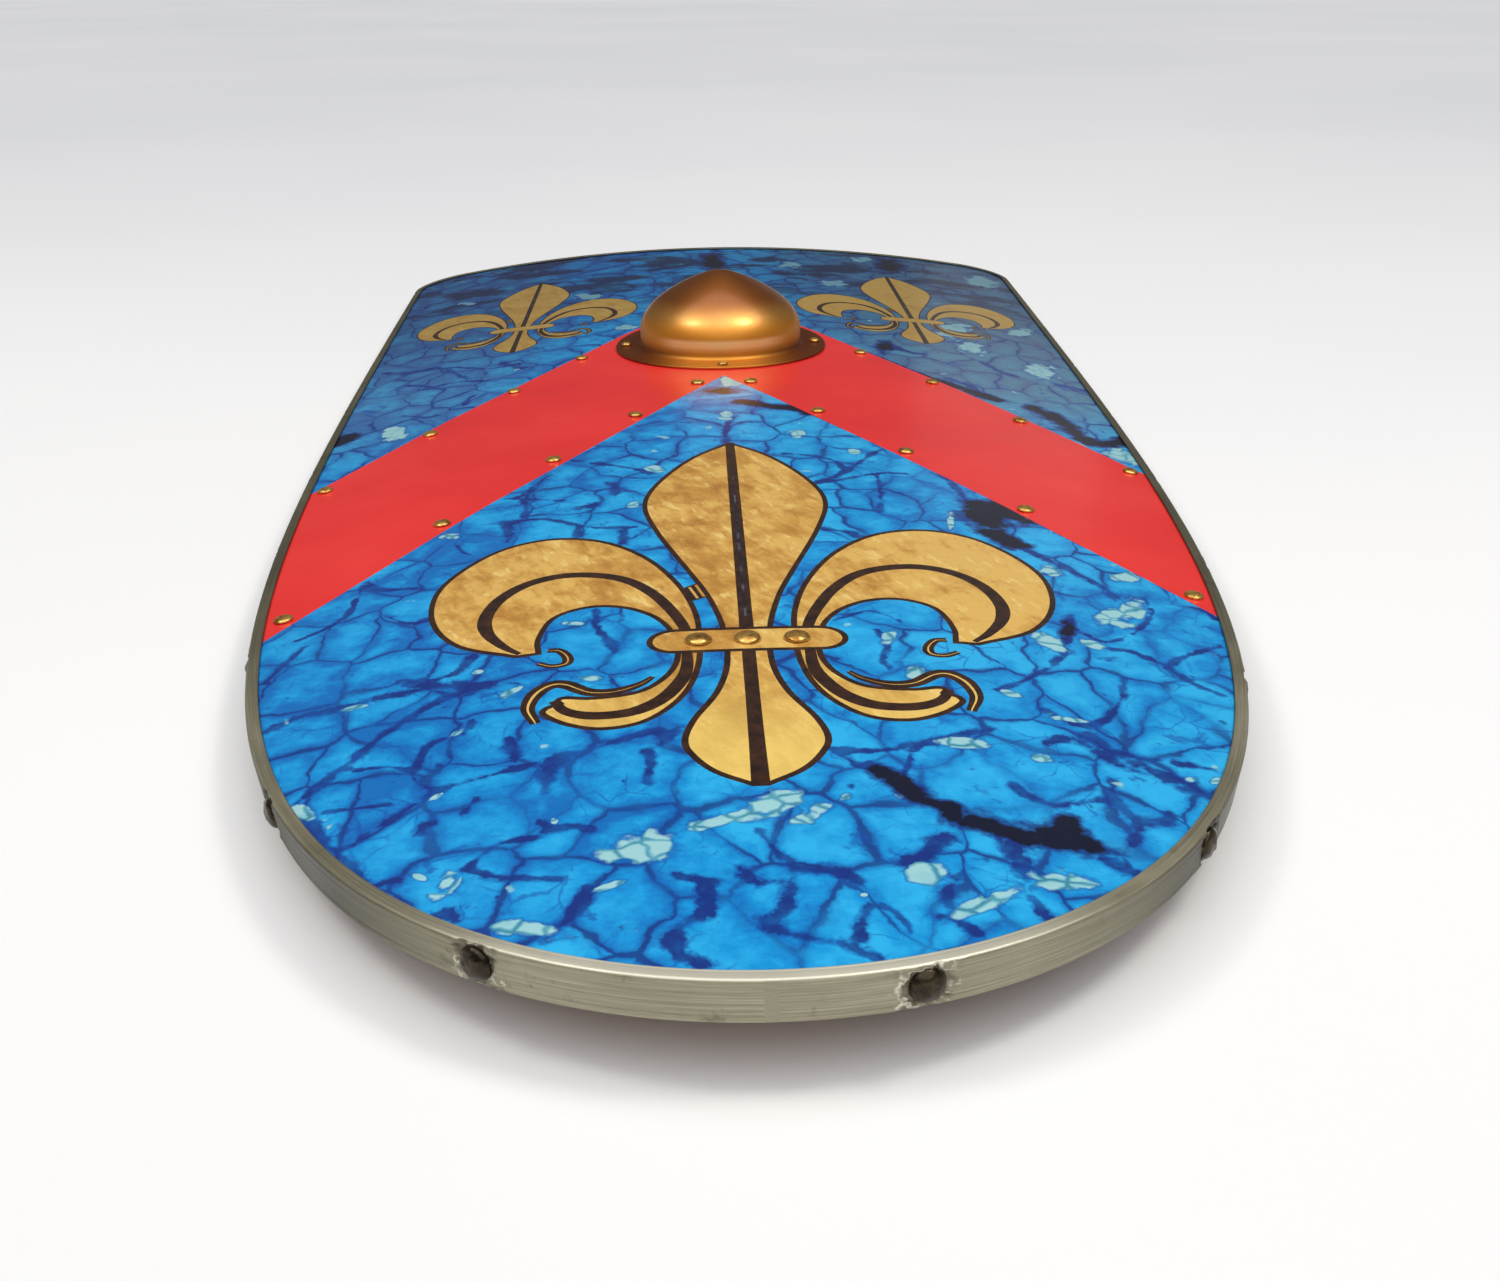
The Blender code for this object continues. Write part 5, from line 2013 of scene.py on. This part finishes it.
@dataclass
class Boss:
    """The hollow pressed boss: a profile turned about its middle and sprung onto the bow."""

    form: ShieldForm = FORM
    dome_radius: float = 0.0569
    height: float = 0.053
    sheet: float = 0.0016
    fillet: float = 0.003
    shoulder_power: float = 3.4
    crown_power: float = 1.65
    cone_share: float = 0.29
    tip_rounding: float = 0.12
    edge_rounding: float = 0.0006
    hem: float = 0.0003
    dome_steps: int = 44
    fillet_steps: int = 8
    edge_steps: int = 4
    segments: int = 144
    beating: float = 0.00025

    @property
    def flange_top(self) -> float:
        """Return the height of the flange's top over the face."""
        return self.form.seat_gap + self.sheet

    def dome_height(self, share: float) -> float:
        """Return the dome's height, 0 to 1, at a share of its radius: steep sides under a blunt cone."""
        shoulder = (1.0 - share ** self.crown_power) ** (1.0 / self.shoulder_power)
        edge = math.hypot(1.0, self.tip_rounding)
        cone = (edge - math.hypot(share, self.tip_rounding)) / (edge - self.tip_rounding)
        return (1.0 - self.cone_share) * shoulder + self.cone_share * cone

    def outer_side(self) -> list[Vector]:
        """Return the outer profile, from the crown to the flange, as (radius, height)."""
        foot = self.flange_top + self.fillet
        rim, rounding = self.form.boss_flange_radius, self.edge_rounding
        profile = []
        for i in range(self.dome_steps + 1):
            share = math.sin(QUARTER * i / self.dome_steps)
            profile.append(Vector((self.dome_radius * share, foot + (self.height - foot) * self.dome_height(share))))
        for i in range(1, self.fillet_steps + 1):
            turn = QUARTER * i / self.fillet_steps
            profile.append(Vector((self.dome_radius + self.fillet * (1.0 - math.cos(turn)),
                                   foot - self.fillet * math.sin(turn))))
        start = self.dome_radius + self.fillet
        profile += [Vector((start + (rim - start) * share, self.flange_top)) for share in (0.25, 0.5, 0.75)]
        for i in range(self.edge_steps + 1):
            turn = QUARTER * i / self.edge_steps
            profile.append(Vector((rim - rounding + rounding * math.sin(turn),
                                   self.flange_top - rounding + rounding * math.cos(turn))))
        return profile

    def profile(self) -> list[Vector]:
        """Return the whole profile: the outer side, and back up the hollow to the crown."""
        outer = self.outer_side()
        inner = []
        for i in range(len(outer) - self.edge_steps - 1):
            along = (outer[i + 1] - outer[i - 1]).normalized() if i else Vector((1.0, 0.0))
            point = outer[i] + Vector((along.y, -along.x)) * self.sheet
            inner.append(Vector((max(point.x, 0.0), max(point.y, self.form.seat_gap))))
        rim, gap = self.form.boss_flange_radius, self.form.seat_gap
        return outer + [Vector((rim, gap + self.hem)), Vector((rim - self.hem, gap))] + inner[::-1]

    def build(self) -> bpy.types.Object:
        """Build the boss."""
        group = piece_group("turned_boss", {"Segments": self.segments, "Up": self.form.boss_up,
                                            "Beating": self.beating})
        graph, source = group.graph, group.source
        shell = grouped(graph, turning(), {"Profile": source["Geometry"], "Segments": source["Segments"]})
        wave = graph.math("MINIMUM", graph.less(graph.noise(here(graph), 38.0), 0.65), 0.0)
        push = graph.scaled(graph.node("GeometryNodeInputNormal").outputs[0], graph.times(wave, source["Beating"]))
        shift = graph.vector("ADD", push, graph.join(0.0, source["Up"], 0.0))
        recipe = Recipe(dressed(group, moved(graph, shell, Offset=shift)))
        host = new_piece("pressed_boss", mesh_of("pressed_boss", [(point.x, 0.0, point.y) for point in self.profile()]))
        return recipe.cook(host, {"Segments": self.segments, "Up": self.form.boss_up, "Beating": self.beating,
                                  "Material": CopperGold().material()})


@dataclass
class HandGrip:
    """The waisted wooden grip across the hand hole, shaped to the bow on its front."""

    form: ShieldForm = FORM
    lap: float = 0.0475
    end_width: float = 0.040
    waist_width: float = 0.030
    corner_cut: float = 0.008
    floor_room: float = 0.0065
    rounding: float = 0.0045
    seat_rounding: float = 0.0015
    corner_steps: int = 6
    crowding: float = 0.55
    tips: tuple[Point, ...] = ((0.0, 0.0024), (0.0006, 0.0002), (0.0016, 0.0012))
    steps: int = 40

    @property
    def half_length(self) -> float:
        """Return half the grip's length."""
        return self.form.hand_hole_radius + self.lap

    def width(self, across: float) -> float:
        """Return the grip's width at a distance from its middle, with its corners rounded off."""
        waist = 0.5 + 0.5 * math.cos(math.pi * across / self.half_length)
        width = self.end_width + (self.waist_width - self.end_width) * waist
        from_end = self.half_length - abs(across)
        if from_end < self.corner_cut:
            short = 1.0 - from_end / self.corner_cut
            width -= 2.0 * self.corner_cut * (1.0 - math.sqrt(max(0.0, 1.0 - short ** 2)))
        return width

    def ring(self, across: float, shrink: float) -> list[Vector]:
        """Return one cross-section of the grip.

        Args:
            across: Where it is, from the grip's middle.
            shrink: How far it is taken in, towards a rounded end.

        Returns:
            Points round the section.
        """
        half = self.width(across) / 2.0 - shrink
        gap = self.form.seat_gap
        top = self.form.bowed(across, self.form.boss_up, -self.form.board_thickness - gap)
        low, high = self.floor_room + shrink, top.z - shrink * 0.5
        middle = self.form.boss_up - self.form.length / 2.0
        points = []
        for turn, (y, z) in enumerate(((half, high), (-half, high), (-half, low), (half, low))):
            radius = self.seat_rounding if z == high else self.rounding
            centre_y = y - math.copysign(radius, y)
            centre_z = z - radius if z == high else z + radius
            for i in range(self.corner_steps + 1):
                angle = QUARTER * (turn + i / self.corner_steps)
                points.append(Vector((top.x, middle + centre_y + radius * math.cos(angle),
                                      centre_z + radius * math.sin(angle))))
        return points

    def build(self) -> bpy.types.Object:
        """Build the grip."""
        half = self.half_length
        stations = [(sign * (half - inset), shrink) for sign in (-1.0, 1.0) for inset, shrink in self.tips]
        for i in range(1, self.steps):
            share = 2.0 * i / self.steps - 1.0
            across = half * (math.sin(share * QUARTER) * self.crowding + share * (1.0 - self.crowding))
            stations.append((across, 0.0))
        verts = [point for across, shrink in sorted(stations) for point in self.ring(across, shrink)]
        faces: list[list[int]] = []
        size = len(verts) // len(stations)
        for row in range(len(stations) - 1):
            for i in range(size):
                after = (i + 1) % size
                faces.append([row * size + i, (row + 1) * size + i, (row + 1) * size + after, row * size + after])
        faces.append(list(range(size)))
        faces.append(list(reversed(range(len(verts) - size, len(verts)))))
        mesh = mesh_of("hand_grip", verts, faces)
        mesh.polygons.foreach_set("use_smooth", [True] * len(mesh.polygons))
        mesh.materials.append(GripWood().material())
        return new_piece("hand_grip", mesh)


@dataclass(frozen=True)
class Lamp:
    """One soft lamp: where it hangs, what it points at, its size in metres, its power in watts and its colour."""

    name: str
    place: Triple
    aim: Triple
    size: Point
    power: float
    colour: Triple = (1.0, 0.94, 0.82)


@dataclass
class Studio:
    """The floor, the lights and the camera."""

    focal_pixels: float = 1542.146
    image_width: int = 1500
    sensor_width: float = 36.0
    near_clip: float = 0.01
    pitch: float = 0.42271
    yaw: float = 0.03324
    roll: float = -0.01355
    eye: Triple = (-0.0183, -0.9149, 0.2979)
    floor_reach: float = 60.0
    sky_spread: float = math.radians(92.0)
    sky_lean: float = math.radians(22.0)
    sky_power: float = 2.75
    sky_colour: Triple = (0.98, 0.98, 1.0)
    air_colour: Colour = (0.93, 0.95, 1.0, 1.0)
    air_power: float = 0.08
    lamps: tuple[Lamp, ...] = (Lamp("lamp_left", (-0.98, -0.44, 1.54), (-0.02, 0.136, 0.06), (0.42, 0.42), 6.0),
                               Lamp("lamp_right", (0.84, -0.50, 1.60), (0.02, 0.136, 0.06), (0.42, 0.42), 8.0),
                               Lamp("far_panel", (0.98, 3.0, 0.72), (0.15, 0.05, 0.05), (0.60, 0.80), 0.25,
                                    (1.0, 0.92, 0.84)))

    def camera(self) -> None:
        """Place the camera where the photograph was taken from."""
        turn = Matrix.Rotation(self.yaw, 3, "Z")
        base = Matrix(((1.0, 0.0, 0.0), (0.0, 0.0, -1.0), (0.0, 1.0, 0.0)))
        tilt = Matrix.Rotation(self.pitch, 3, "X")
        lean = Matrix.Rotation(self.roll, 3, "Z")
        looking = lean @ tilt @ base @ turn
        axes = Matrix((looking[0], -looking[1], -looking[2])).transposed()
        data = bpy.data.cameras.new("camera")
        data.sensor_fit = "HORIZONTAL"
        data.sensor_width = self.sensor_width
        data.lens = self.focal_pixels / self.image_width * self.sensor_width
        data.clip_start = self.near_clip
        camera = bpy.data.objects.new("camera", data)
        camera.matrix_world = Matrix.Translation(self.eye) @ axes.to_4x4()
        bpy.context.scene.collection.objects.link(camera)
        bpy.context.scene.camera = camera

    @staticmethod
    def hang(lamp: Lamp) -> None:
        """Hang one soft lamp, unseen by the camera."""
        data = bpy.data.lights.new(lamp.name, "AREA")
        data.shape = "RECTANGLE"
        data.size, data.size_y = lamp.size
        data.energy = lamp.power
        data.color = lamp.colour
        item = bpy.data.objects.new(lamp.name, data)
        item.location = lamp.place
        item.visible_camera = False
        item.rotation_euler = (Vector(lamp.aim) - Vector(lamp.place)).to_track_quat("-Z", "Y").to_euler()
        bpy.context.scene.collection.objects.link(item)

    def sky(self) -> None:
        """Light everything softly and evenly from above the viewer, as a wide bright ceiling does."""
        data = bpy.data.lights.new("sky", "SUN")
        data.angle = self.sky_spread
        data.energy = self.sky_power
        data.color = self.sky_colour
        item = bpy.data.objects.new("sky", data)
        item.rotation_euler = (self.sky_lean, 0.0, 0.0)
        bpy.context.scene.collection.objects.link(item)

    def floor(self) -> bpy.types.Object:
        """Lay the pale floor."""
        reach = self.floor_reach
        mesh = mesh_of("floor", [(-reach, -reach, 0.0), (reach, -reach, 0.0), (reach, reach, 0.0),
                                 (-reach, reach, 0.0)], [[0, 1, 2, 3]])
        mesh.materials.append(PaleFloor().material())
        return new_piece("floor", mesh)

    def build(self) -> None:
        """Set up the whole studio."""
        self.camera()
        self.floor()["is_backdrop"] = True
        world = bpy.data.worlds.new("studio")
        world.use_nodes = True
        background = world.node_tree.nodes["Background"]
        background.inputs["Color"].default_value = self.air_colour
        background.inputs["Strength"].default_value = self.air_power
        bpy.context.scene.world = world
        bpy.context.scene.view_settings.view_transform = "Standard"
        for lamp in self.lamps:
            self.hang(lamp)
        self.sky()


def metres(lengths: Sequence[float]) -> list[float]:
    """Turn millimetres into metres, exact to a tenth of a micrometre."""
    return [round(length / 1000.0, 7) for length in lengths]


def veins(*rows: tuple[float, ...]) -> tuple[Vein, ...]:
    """Make veins from rows of millimetres: the reach, and then across and up of each point."""
    return tuple(Vein(tuple(zip(metres(row[1::2]), metres(row[2::2]))), *metres(row[:1])) for row in rows)


def chips(*rows: tuple[float, ...]) -> tuple[Chip, ...]:
    """Make chips from rows: across, up, half length and half width in millimetres, and the turn in radians."""
    return tuple(Chip(*metres(row[:4]), row[4]) for row in rows)


def stone_marks() -> StoneMarks:
    """Return the landmarks of the stone print, from the foot upwards on each side."""
    cracks = veins(
        (5.5, -187, 184, -176, 192, -151, 199, -123, 205, -90, 203),
        (5, -161, 123, -147, 150, -135, 174, -117, 196, -98, 202),
        (4.5, -135, 90, -123, 106, -111, 121, -92, 129, -57, 144, -32, 157),
        (6, -152, 107, -145, 95, -133, 77, -124, 64, -114, 67), (4, -95, 68, -90, 77, -84, 83, -70, 84),
        (4, -93, 67, -83, 62, -71, 60, -61, 58), (7, -74, 113, -73, 131, -68, 138), (5, -39, 117, -38, 133, -42, 141),
        (5, -28, 57, -21, 54, -14, 54), (7, -19, 47, -20, 37, -27, 29, -29, 20, -26, 14, -18, 10),
        (4.5, -122, 135, -121, 147, -118, 158, -108, 163, -105, 177),
        (3, -144, 142, -132, 142, -124, 137, -119, 127, -110, 121), (4, -199, 232, -195, 246, -189, 267),
        (6, -90, 155, -86, 137, -89, 129), (6, -34, 145, -31, 152, -26, 158), (8, -136, 213, -123, 205, -112, 205),
        (5, -113, 94, -112, 99, -108, 98), (4, -100, 104, -98, 110, -96, 114), (5, -74, 94, -68, 89, -62, 90, -54, 85),
        (5.5, -66, 28, -61, 36, -57, 45, -55, 56), (6, -100, 44, -97, 46, -93, 38), (6, -10, 61, -7, 57, -3, 49),
        (3, -149, 114, -134, 114, -124, 115), (7, 7, 61, 15, 58, 24, 55, 30, 46), (7, -2, 28, 2, 34, 6, 44, 6, 54),
        (6, -4, 31, 1, 27, 9, 22, 18, 19, 23, 15, 31, 8), (5, 24, 20, 26, 30, 31, 39), (3, 33, 38, 38, 29, 40, 21),
        (5, 49, 32, 56, 27, 62, 19), (6, 53, 32, 54, 44, 58, 56), (9, 79, 75, 80, 62, 78, 49),
        (5, 79, 39, 81, 32, 83, 28), (3, 47, 104, 51, 121, 58, 138, 66, 139),
        (5, 26, 136, 40, 133, 52, 137, 76, 147, 91, 153), (5, 86, 110, 92, 100, 101, 97, 118, 102),
        (7, 105, 142, 115, 146, 122, 136, 130, 125, 138, 133), (5, 123, 149, 128, 137, 143, 132, 165, 127),
        (4.5, 151, 228, 161, 227, 170, 214, 179, 197, 190, 189), (3.5, 169, 213, 183, 228, 204, 242),
        (4, 130, 222, 119, 206, 106, 193, 93, 183), (4.5, 149, 200, 142, 180, 131, 161, 118, 158, 107, 173),
        (4.5, 122, 115, 119, 100, 123, 88, 117, 69), (7, 122, 86, 130, 87, 139, 95), (9, 140, 122, 148, 116, 153, 107),
        (4, 26, 136, 34, 124, 42, 119), (9, 45, 60, 52, 67, 59, 79), (4, -2, 81, 2, 71, 7, 61),
        (7, 106, 63, 112, 58, 117, 55), (4.5, 46, 437, 62, 454, 76, 481, 89, 501),
        (3.5, 44, 432, 61, 442, 81, 453, 99, 453), (4, 78, 448, 77, 420, 72, 384),
        (4, 29, 487, 46, 482, 58, 472, 62, 452), (9, 9, 597, 26, 586, 43, 580, 52, 564),
        (6, 116, 760, 134, 739, 149, 731), (7, 150, 672, 164, 654, 174, 622), (6, 186, 726, 196, 701, 210, 693),
        (7, 121, 766, 133, 741, 148, 735), (9.5, 229, 688, 245, 679, 263, 679), (7, 189, 999, 218, 983),
        (5.5, -247, 766, -222, 752, -204, 755, -175, 703), (5, -224, 718, -205, 703, -186, 680),
        (5, -206, 630, -191, 619, -181, 623), (5, -170, 635, -169, 653, -163, 663),
        (8, -156, 743, -145, 723, -134, 718), (5, 152, 940, 189, 968, 228, 979),
        (4.5, -90, 490, -72, 479, -56, 469, -41, 454), (6, -3, 508, 0, 547, 6, 562),
        (3.5, -54, 549, -40, 557, -19, 551), (3.5, -115, 433, -106, 451, -100, 469),
        (5, -229, 751, -194, 749, -164, 729, -141, 735), (4, -209, 694, -181, 702, -151, 688),
        (6, -236, 1114, -193, 1089, -159, 1099), (3, -127, 434, -110, 429, -86, 419),
        (4, -107, 444, -110, 429, -108, 409, -111, 389), (7, -117, 395, -113, 376, -114, 361),
        (6, -79, 377, -78, 365, -80, 360), (6, -56, 373, -55, 355, -56, 348),
        (3.5, -118, 395, -97, 394, -71, 376, -47, 373), (9, -80, 406, -75, 409, -70, 415),
        (8, -64, 443, -62, 431, -62, 424), (3, -139, 372, -134, 357, -127, 351),
        (4, -176, 332, -168, 320, -157, 317, -141, 313), (3.5, -196, 271, -185, 280, -177, 296, -177, 330),
        (3.5, -156, 283, -147, 274, -137, 276), (5, -137, 211, -124, 213, -116, 222, -111, 237),
        (4.5, -64, 270, -63, 252, -57, 237, -53, 220), (5.5, 41, 363, 53, 359, 59, 350),
        (4.5, 118, 446, 120, 420, 123, 401), (5, 137, 345, 153, 320, 165, 300, 169, 282),
        (3, 37, 250, 51, 260, 59, 257, 68, 247), (3.5, 54, 240, 57, 225, 53, 210, 57, 199),
        (5, 131, 227, 140, 254, 142, 267), (3, 182, 289, 180, 271, 169, 252, 163, 244),
        (3, 141, 247, 150, 236, 163, 244), (4, 198, 285, 208, 281, 210, 267)
    ) + chips(
        (119, 148, 6.4, 4.6, 0.8), (62, 90, 6, 3.7, 1.3), (19, 19, 4.5, 3.3, -0.5), (39, 125, 4.7, 3.3, 1.4),
        (31, 109, 4, 2.7, 1.4), (142, 117, 6, 4.2, 0.7), (136, 91, 5.7, 4, 0.6), (-65, 31, 5.7, 3.7, -1.4),
        (-113, 139, 4.3, 3.1, -1.1), (-47, 118, 3.2, 2.4, -1.3), (-83, 51, 3.2, 2.2, -1.2)
    )
    soot = veins(
        (4.2, 41, 119, 48.5, 110.5, 51.4, 100.6, 61, 94.2)
    ) + chips(
        (61.8, 90.5, 6.6, 4.4, 1.4), (100.5, 83.5, 6.8, 4.4, 1.3)
    ) + veins(
        (5.6, 69.2, 85, 78, 80.6, 86.3, 74.8)
    ) + chips(
        (95.5, 74.5, 18, 7.8, -.45)
    ) + veins(
        (11, 124, 387, 130, 405, 139, 402, 147, 385), (7, 123, 365, 130, 357, 137, 345),
        (7, 198, 611, 210, 589, 219, 546, 237, 550, 254, 566), (5.5, 143, 662, 162, 641, 180, 619),
        (8, -246, 588, -242, 597, -238, 604), (5.5, 9, 597, 26, 586, 43, 580, 52, 564)
    )
    dark = chips(
        (0, 1066, 49.9, 10.7, 1.6), (162, 1082, 37, 12.6, 1.4), (-4, 622, 12.2, 9.7, -0.2), (119, 752, 19.5, 6.1, 1.4),
        (131, 389, 21.6, 8.4, 1.3), (137, 247, 10.2, 3.8, 1.3)
    )
    pale = chips(
        (-159, 116, 7.6, 4.7, -0.8), (-109, 66, 4.8, 1.7, -0.7), (-100, 61, 6.7, 3.9, 1.3), (-73, 33, 11.4, 4.2, -0.3),
        (-40, 73, 12.6, 9.4, -0.6), (-49, 53, 4.9, 1.5, 0.5), (-111, 117, 3.5, 1.5, 0.8), (-110, 164, 5.1, 1.7, 1.0),
        (-93, 195, 6.7, 2.4, 0.9), (-154, 195, 6, 2.1, 0.2), (-109, 216, 2.5, 2.2, 0.2), (-69, 94, 2.1, 1.2, -1.4),
        (-63, 202, 7.7, 3.1, -0.2)
    ) + veins(
        (2.6, -21.6, 84.4, -10.6, 90.6, -4, 94.5)
    ) + chips(
        (3, 99, 13.6, 6.6, 0.55), (20.5, 95.5, 6.8, 4.2, 0.5), (15, 88.5, 6.8, 3.4, 0.6), (27.7, 101.2, 3.6, 2.5, 0.8),
        (49, 55, 7.4, 5.8, 0.8), (46, 102, 3.4, 2, -0.7), (74, 140, 10.2, 3.7, -0.1), (101, 130, 4.4, 3.7, -0.4),
        (119, 161, 7.6, 2.2, -0.2), (90, 51, 11.4, 5.5, -0.3), (65, 39, 14.8, 3, 0.6), (151, 119, 3.8, 2.4, 0.6),
        (160, 119, 3.4, 2, 0.9), (65, 201, 8.2, 4.4, 1.4), (99, 182, 4.5, 2.7, -0.7), (125, 233, 10.6, 4.7, -1.1),
        (144, 233, 7.3, 3.7, -0.6), (28, 43, 2.2, 2, 0.4), (-143, 381, 6.8, 4.1, -0.7), (-42, 465, 7, 4.2, -0.7),
        (-52, 407, 4.9, 3.7, 1.0), (-73, 257, 5.5, 2.8, -0.3), (159, 263, 13, 6.1, 1.0), (171, 272, 20.4, 5.5, 1.1),
        (178, 314, 9.9, 5.8, 0.6), (59, 234, 7.7, 3.2, 1.2), (144, 315, 6.2, 5.6, 1.5), (107, 376, 13.8, 2.3, 1.4),
        (39, 525, 7.1, 4.9, 1.4), (70, 491, 5.5, 4.7, -1.4), (69, 1054, 13.9, 9.8, 1.3), (101, 977, 16.5, 11.2, 1.1),
        (138, 1099, 17.6, 9.6, 1.2), (243, 1050, 29.8, 15.1, 1.3), (186, 770, 25.7, 10.3, 1.5),
        (228, 719, 23.2, 12.4, 1.4), (238, 846, 21.9, 8.1, 1.2), (181, 827, 27.3, 12.2, 1.2),
        (234, 520, 17.7, 16.2, 1.2), (-210, 978, 14.6, 5.9, -0.9), (-70, 820, 10.2, 9.7, 1.0),
        (-108, 945, 18.2, 10, -1.2), (-209, 592, 18.4, 7.5, -1.2), (4, 645, 17.3, 8, -1.4), (0, 567, 10.3, 5.8, 1.6)
    )
    return StoneMarks(pale, dark, soot, cracks)


def finish_piece(piece: bpy.types.Object, nodes: Sequence[str]) -> None:
    """Put a finished piece on the body in place of its solids.

    Args:
        piece: The piece.
        nodes: Names of the solids that it stands for.
    """
    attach(piece, BODY)
    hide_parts(*nodes)
    LOG.info("%s: %d faces, stands for %d solid(s)", piece.name, len(piece.data.polygons), len(nodes))


def main() -> None:
    """Build every piece in order."""
    logging.basicConfig(level=logging.INFO, format="%(name)s: %(message)s")
    cad_low, cad_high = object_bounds()
    Studio().build()
    layout = StudLayout()
    factory = StudFactory()
    boss = Boss()

    finish_piece(PrintedBoard(marks=stone_marks()).build(), ["board"])
    nails = layout.rim_nails()
    strip = RimStrip().build([place.xy for place, _ in nails.values()])
    finish_piece(strip, ["rim_strip"])
    finish_piece(boss.build(), ["boss"])

    brass = StudBrass()
    rows = (
        ("chevron_tacks", Stud(0.0044, 0.0019, 0.0010, 0.0070), layout.chevron_tacks(), brass, "tack_brass", 3),
        ("crossbar_rivets", Stud(0.0055, 0.0026, 0.0012, 0.0075), layout.bar_rivets(), brass, "tack_brass", 5),
        ("flange_rivets", Stud(0.0036, 0.0022, 0.0015, 0.0080), layout.boss_rivets(boss.flange_top + FORM.seat_gap),
         brass, "tack_brass", 7),
        ("rim_nails", Stud(0.0056, 0.0020, 0.0015, 0.0160, hammering=0.0004, sink=0.0011), nails,
         BlackenedSteel(), "nail_steel", 11),
    )
    for name, stud, seats, finish, slot, seed in rows:
        piece = factory.drive(name, stud, list(seats.values()), finish, seed)
        finish_piece(piece, list(seats))
    finish_piece(HandGrip().build(), ["grip"])
    for node in ("grip_screw_1", "grip_screw_2"):
        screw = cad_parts[node]
        screw.data.materials.clear()
        screw.data.materials.append(BlackenedSteel().material())

    low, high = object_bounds()
    for label, box in (("cad", (cad_low, cad_high)), ("visual", (low, high))):
        LOG.info("%s box from %s to %s", label, *(tuple(round(part, 5) for part in corner) for corner in box))


if __name__ == "__main__":
    main()
